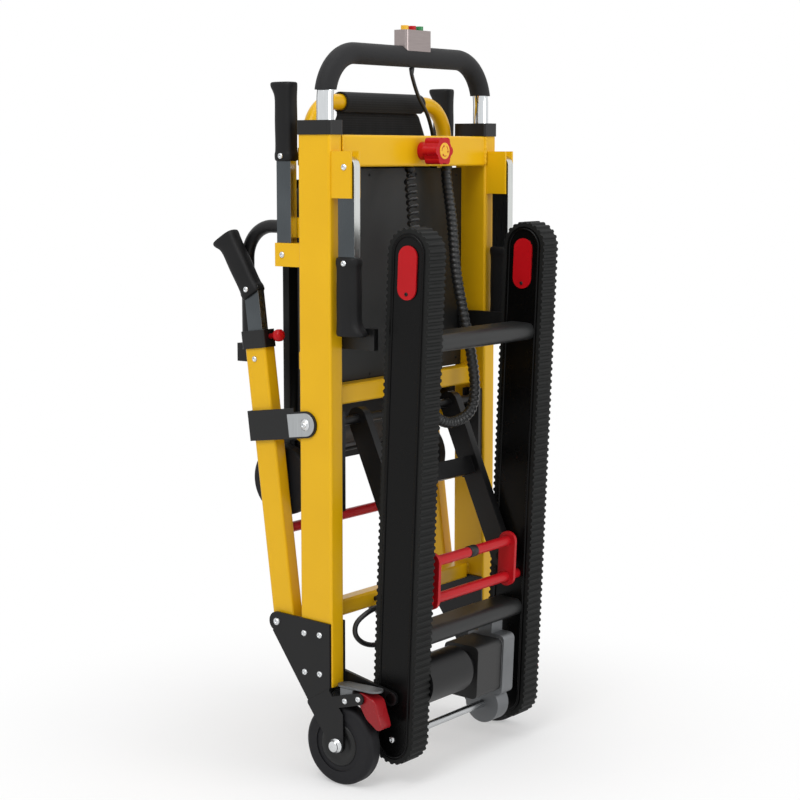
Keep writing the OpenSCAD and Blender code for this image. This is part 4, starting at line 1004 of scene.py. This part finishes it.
def turned_piece(name, profile, centre, direction, material, body, steps=32, smooth=True):
    """A piece turned from a profile of (radius, height), riding on a body."""
    bm = lathe(profile, centre, direction, steps)
    attach(piece_from(name, bm, material, smooth), body)


def make_stop_face(finishes):
    """A yellow disc on the emergency stop's head, with three red arrows that show its turn."""
    disc = ((0, 0), (12.5, 0), (12.5, 0.5), (12, 0.9), (0, 0.9))
    turned_piece("stop_disc", disc, place(-13, 42, 948.5), (0, 1, 0), finishes["yellow_plastic"], "estop",
                 steps=40, smooth=False)
    bm = bmesh.new()
    face = place(-13, 42.95, 948.5)
    steps, step_turn, head_turn = 8, 8, 20
    for start in (0, 120, 240):
        inner = []
        outer = []
        for k in range(steps + 1):
            angle = math.radians(start + step_turn * k)
            way = Vector((math.cos(angle), 0, math.sin(angle))) / 1000
            inner.append(bm.verts.new(face + 7.2 * way))
            outer.append(bm.verts.new(face + 8.6 * way))
        for k in range(steps):
            bm.faces.new((inner[k], inner[k + 1], outer[k + 1], outer[k]))
        base = math.radians(start + steps * step_turn)
        tip = math.radians(start + steps * step_turn + head_turn)
        corners = []
        for angle, radius in ((base, 5.6), (tip, 7.9), (base, 10.2)):
            way = Vector((math.cos(angle), 0, math.sin(angle)))
            corners.append(bm.verts.new(face + way * radius / 1000))
        bm.faces.new(corners)
    arrows = piece_from("stop_arrows", bm, finishes["red_plastic"], smooth=False)
    reshape(arrows, "SOLIDIFY", thickness=0.0004)
    attach(arrows, "estop")


def make_clasp(s, side, finishes):
    """A zinc plated tab that lies on the strap's end, round where its bolt goes through."""
    outline = [(64, 280.5), (64, 315.5)] + arc(CLASP_BOLT, 17.5, 90, -180, 24)
    rings = [[on_leg(s * x, across, along) for across, along in outline] for x in (219.35, 220.9)]
    tab = piece_from("clasp_" + side, bridge(rings), finishes["steel"], smooth=False)
    soften(tab, 0.5, segments=2)
    attach(tab, "leg_frame")
    washer = ((0, 0), (9, 0), (9, 0.8), (7.4, 1), (7.2, 2.6), (0, 2.6))
    turned_piece("clasp_washer_" + side, washer, on_leg(s * 220.8, *CLASP_BOLT), (s, 0, 0),
                 finishes["zinc"], "leg_frame")


def make_fittings(finishes):
    """Turned fittings, the clasps and the emergency stop's face. Profiles are (radius, height)."""
    dome = ((0, 0), (11, 0), (11, 1.5), (9.6, 1.8), (9.6, 7), (7.5, 8.6), (6, 9.4), (4.5, 9.6), (0, 9.9))
    hub = ((0, 0), (33, 0), (33, 0.8), (31, 1.6), (24, 1.6), (22, 0.6), (16, 0.6), (14, 1.4), (0, 1.4))
    stem = ((0, -1), (4, -1), (4, 9), (6, 9.5), (8.5, 12), (9.5, 16), (9, 21), (6, 24), (0, 25))
    end = ((0, 0), (35, 0), (35, 2), (33, 4.5), (26, 5.6), (14, 6.2), (0, 6.4))
    band = ((0, -9), (8.5, -9), (9.1, -8.3), (9.1, 8.3), (8.5, 9), (0, 9))
    black = finishes["black_plastic"]
    wheel_x, hub_reach = 203, 11.9
    for s, side in SIDES.items():
        turned_piece("axle_nut_" + side, dome, place(s * FORK_X, *WHEEL_CENTRE), (s, 0, 0), finishes["zinc"],
                     "frame", steps=24)
        for way, face in ((1, "out"), (-1, "in")):
            centre = place(s * (wheel_x + way * hub_reach), *WHEEL_CENTRE)
            turned_piece(f"hub_cap_{side}_{face}", hub, centre, (s * way, 0, 0), black, "rear_wheel_" + side,
                         steps=40)
        make_clasp(s, side, finishes)
        turned_piece("lock_knob_" + side, stem, on_leg(s * HANDLE_X, 31, 434),
                     (0, math.cos(LEG_LEAN), math.sin(LEG_LEAN)), finishes["red_plastic"], "leg_frame")
    turned_piece("motor_end", end, on_track(124.9, 7, 80), (1, 0, 0), black, "track_unit",
                 steps=48)
    turned_piece("loop_band", band, on_track(0, 13, 263), (1, 0, 0), black, "release_loop")
    make_stop_face(finishes)


# Scene


def seen_by_eye(tree):
    """1 for rays from the camera, straight or by way of metal and glass, and 0 for light on the object."""
    path = add(tree, "LightPath").outputs
    seen = path["Is Camera Ray"]
    for kind in ("Is Glossy Ray", "Is Transmission Ray"):
        seen = add(tree, "Math", {0: seen, 1: path[kind]}, operation="MAXIMUM")
    return seen


def make_stage():
    """White paper that the camera sees as pure white away from the object, a white world and three lamps."""
    paper, tree, shader, where = start_material("Studio paper, white", Roughness=0.9)
    fibre = add(tree, "TexNoise", pattern(where, 300))
    tint(tree, shader, fibre, "#f3f3f3", "#f7f7f7")
    far = add(tree, "VectorMath", {0: where}, operation="LENGTH")
    clear = add(tree, "MapRange", {
        "Value": far.outputs["Value"], "From Min": 0.22, "From Max": 0.85, "To Min": 0.35, "To Max": 1.0},
        interpolation_type="SMOOTHSTEP")
    share = add(tree, "Math", {0: seen_by_eye(tree), 1: clear}, operation="MULTIPLY")
    glow = add(tree, "Emission", {"Color": linear("#ffffff"), "Strength": 1.0})
    mixed = add(tree, "MixShader", {0: share, 1: shader, 2: glow})
    join(tree, mixed, tree.nodes["Material Output"].inputs["Surface"])
    bm = bmesh.new()
    bmesh.ops.create_grid(bm, x_segments=1, y_segments=1, size=6)
    floor = piece_from("floor", bm, paper, smooth=False)

    world = bpy.data.worlds.new("Studio")
    bpy.context.scene.world = world
    world.use_nodes = True
    tree = world.node_tree
    tree.nodes.clear()
    light = add(tree, "Background", {"Color": linear("#ffffff"), "Strength": 0.6})
    white = add(tree, "Background", {"Color": linear("#ffffff"), "Strength": 1.0})
    mixed = add(tree, "MixShader", {0: seen_by_eye(tree), 1: light, 2: white})
    add(tree, "OutputWorld", {"Surface": mixed})

    target = Vector((0, 0.05, 0.6))
    for name, spot, size, power in (
            ("key", (2.2, 0.6, 2.6), 1.4, 34), ("fill", (-0.6, 2.8, 1.6), 1.6, 24),
            ("top", (0.2, 0.2, 3.2), 1.8, 18)):
        lamp = bpy.data.lights.new(name, "AREA")
        lamp.size = size
        lamp.energy = power
        holder = linked(name, lamp)
        holder.location = spot
        holder.rotation_euler = (target - Vector(spot)).to_track_quat("-Z", "Y").to_euler()


def make_camera():
    """The photograph's view: a long lens, a little above and to the left of the rear."""
    lens = bpy.data.cameras.new("photo_view")
    lens.sensor_width = 36
    lens.lens = 85.5
    camera = linked("photo_view", lens)
    camera.location = place(2380, 1741, 944)
    look_down, heading = 7.38, 126.707
    camera.rotation_euler = (math.radians(90 - look_down), 0, math.radians(heading))
    bpy.context.scene.camera = camera


def main():
    """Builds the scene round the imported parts."""
    bpy.ops.wm.read_factory_settings(use_empty=True)
    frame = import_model()
    bpy.context.scene.view_settings.view_transform = "Standard"
    make_camera()
    finishes = make_materials()
    make_cords(finishes)
    dress_nodes(frame["nodes"], finishes)
    make_cushion(finishes)
    make_backrest(finishes)
    make_grips(finishes)
    make_pedals(finishes)
    make_screws(finishes)
    make_welds(finishes)
    make_rail_beads(finishes)
    make_fittings(finishes)
    make_stage()


main()
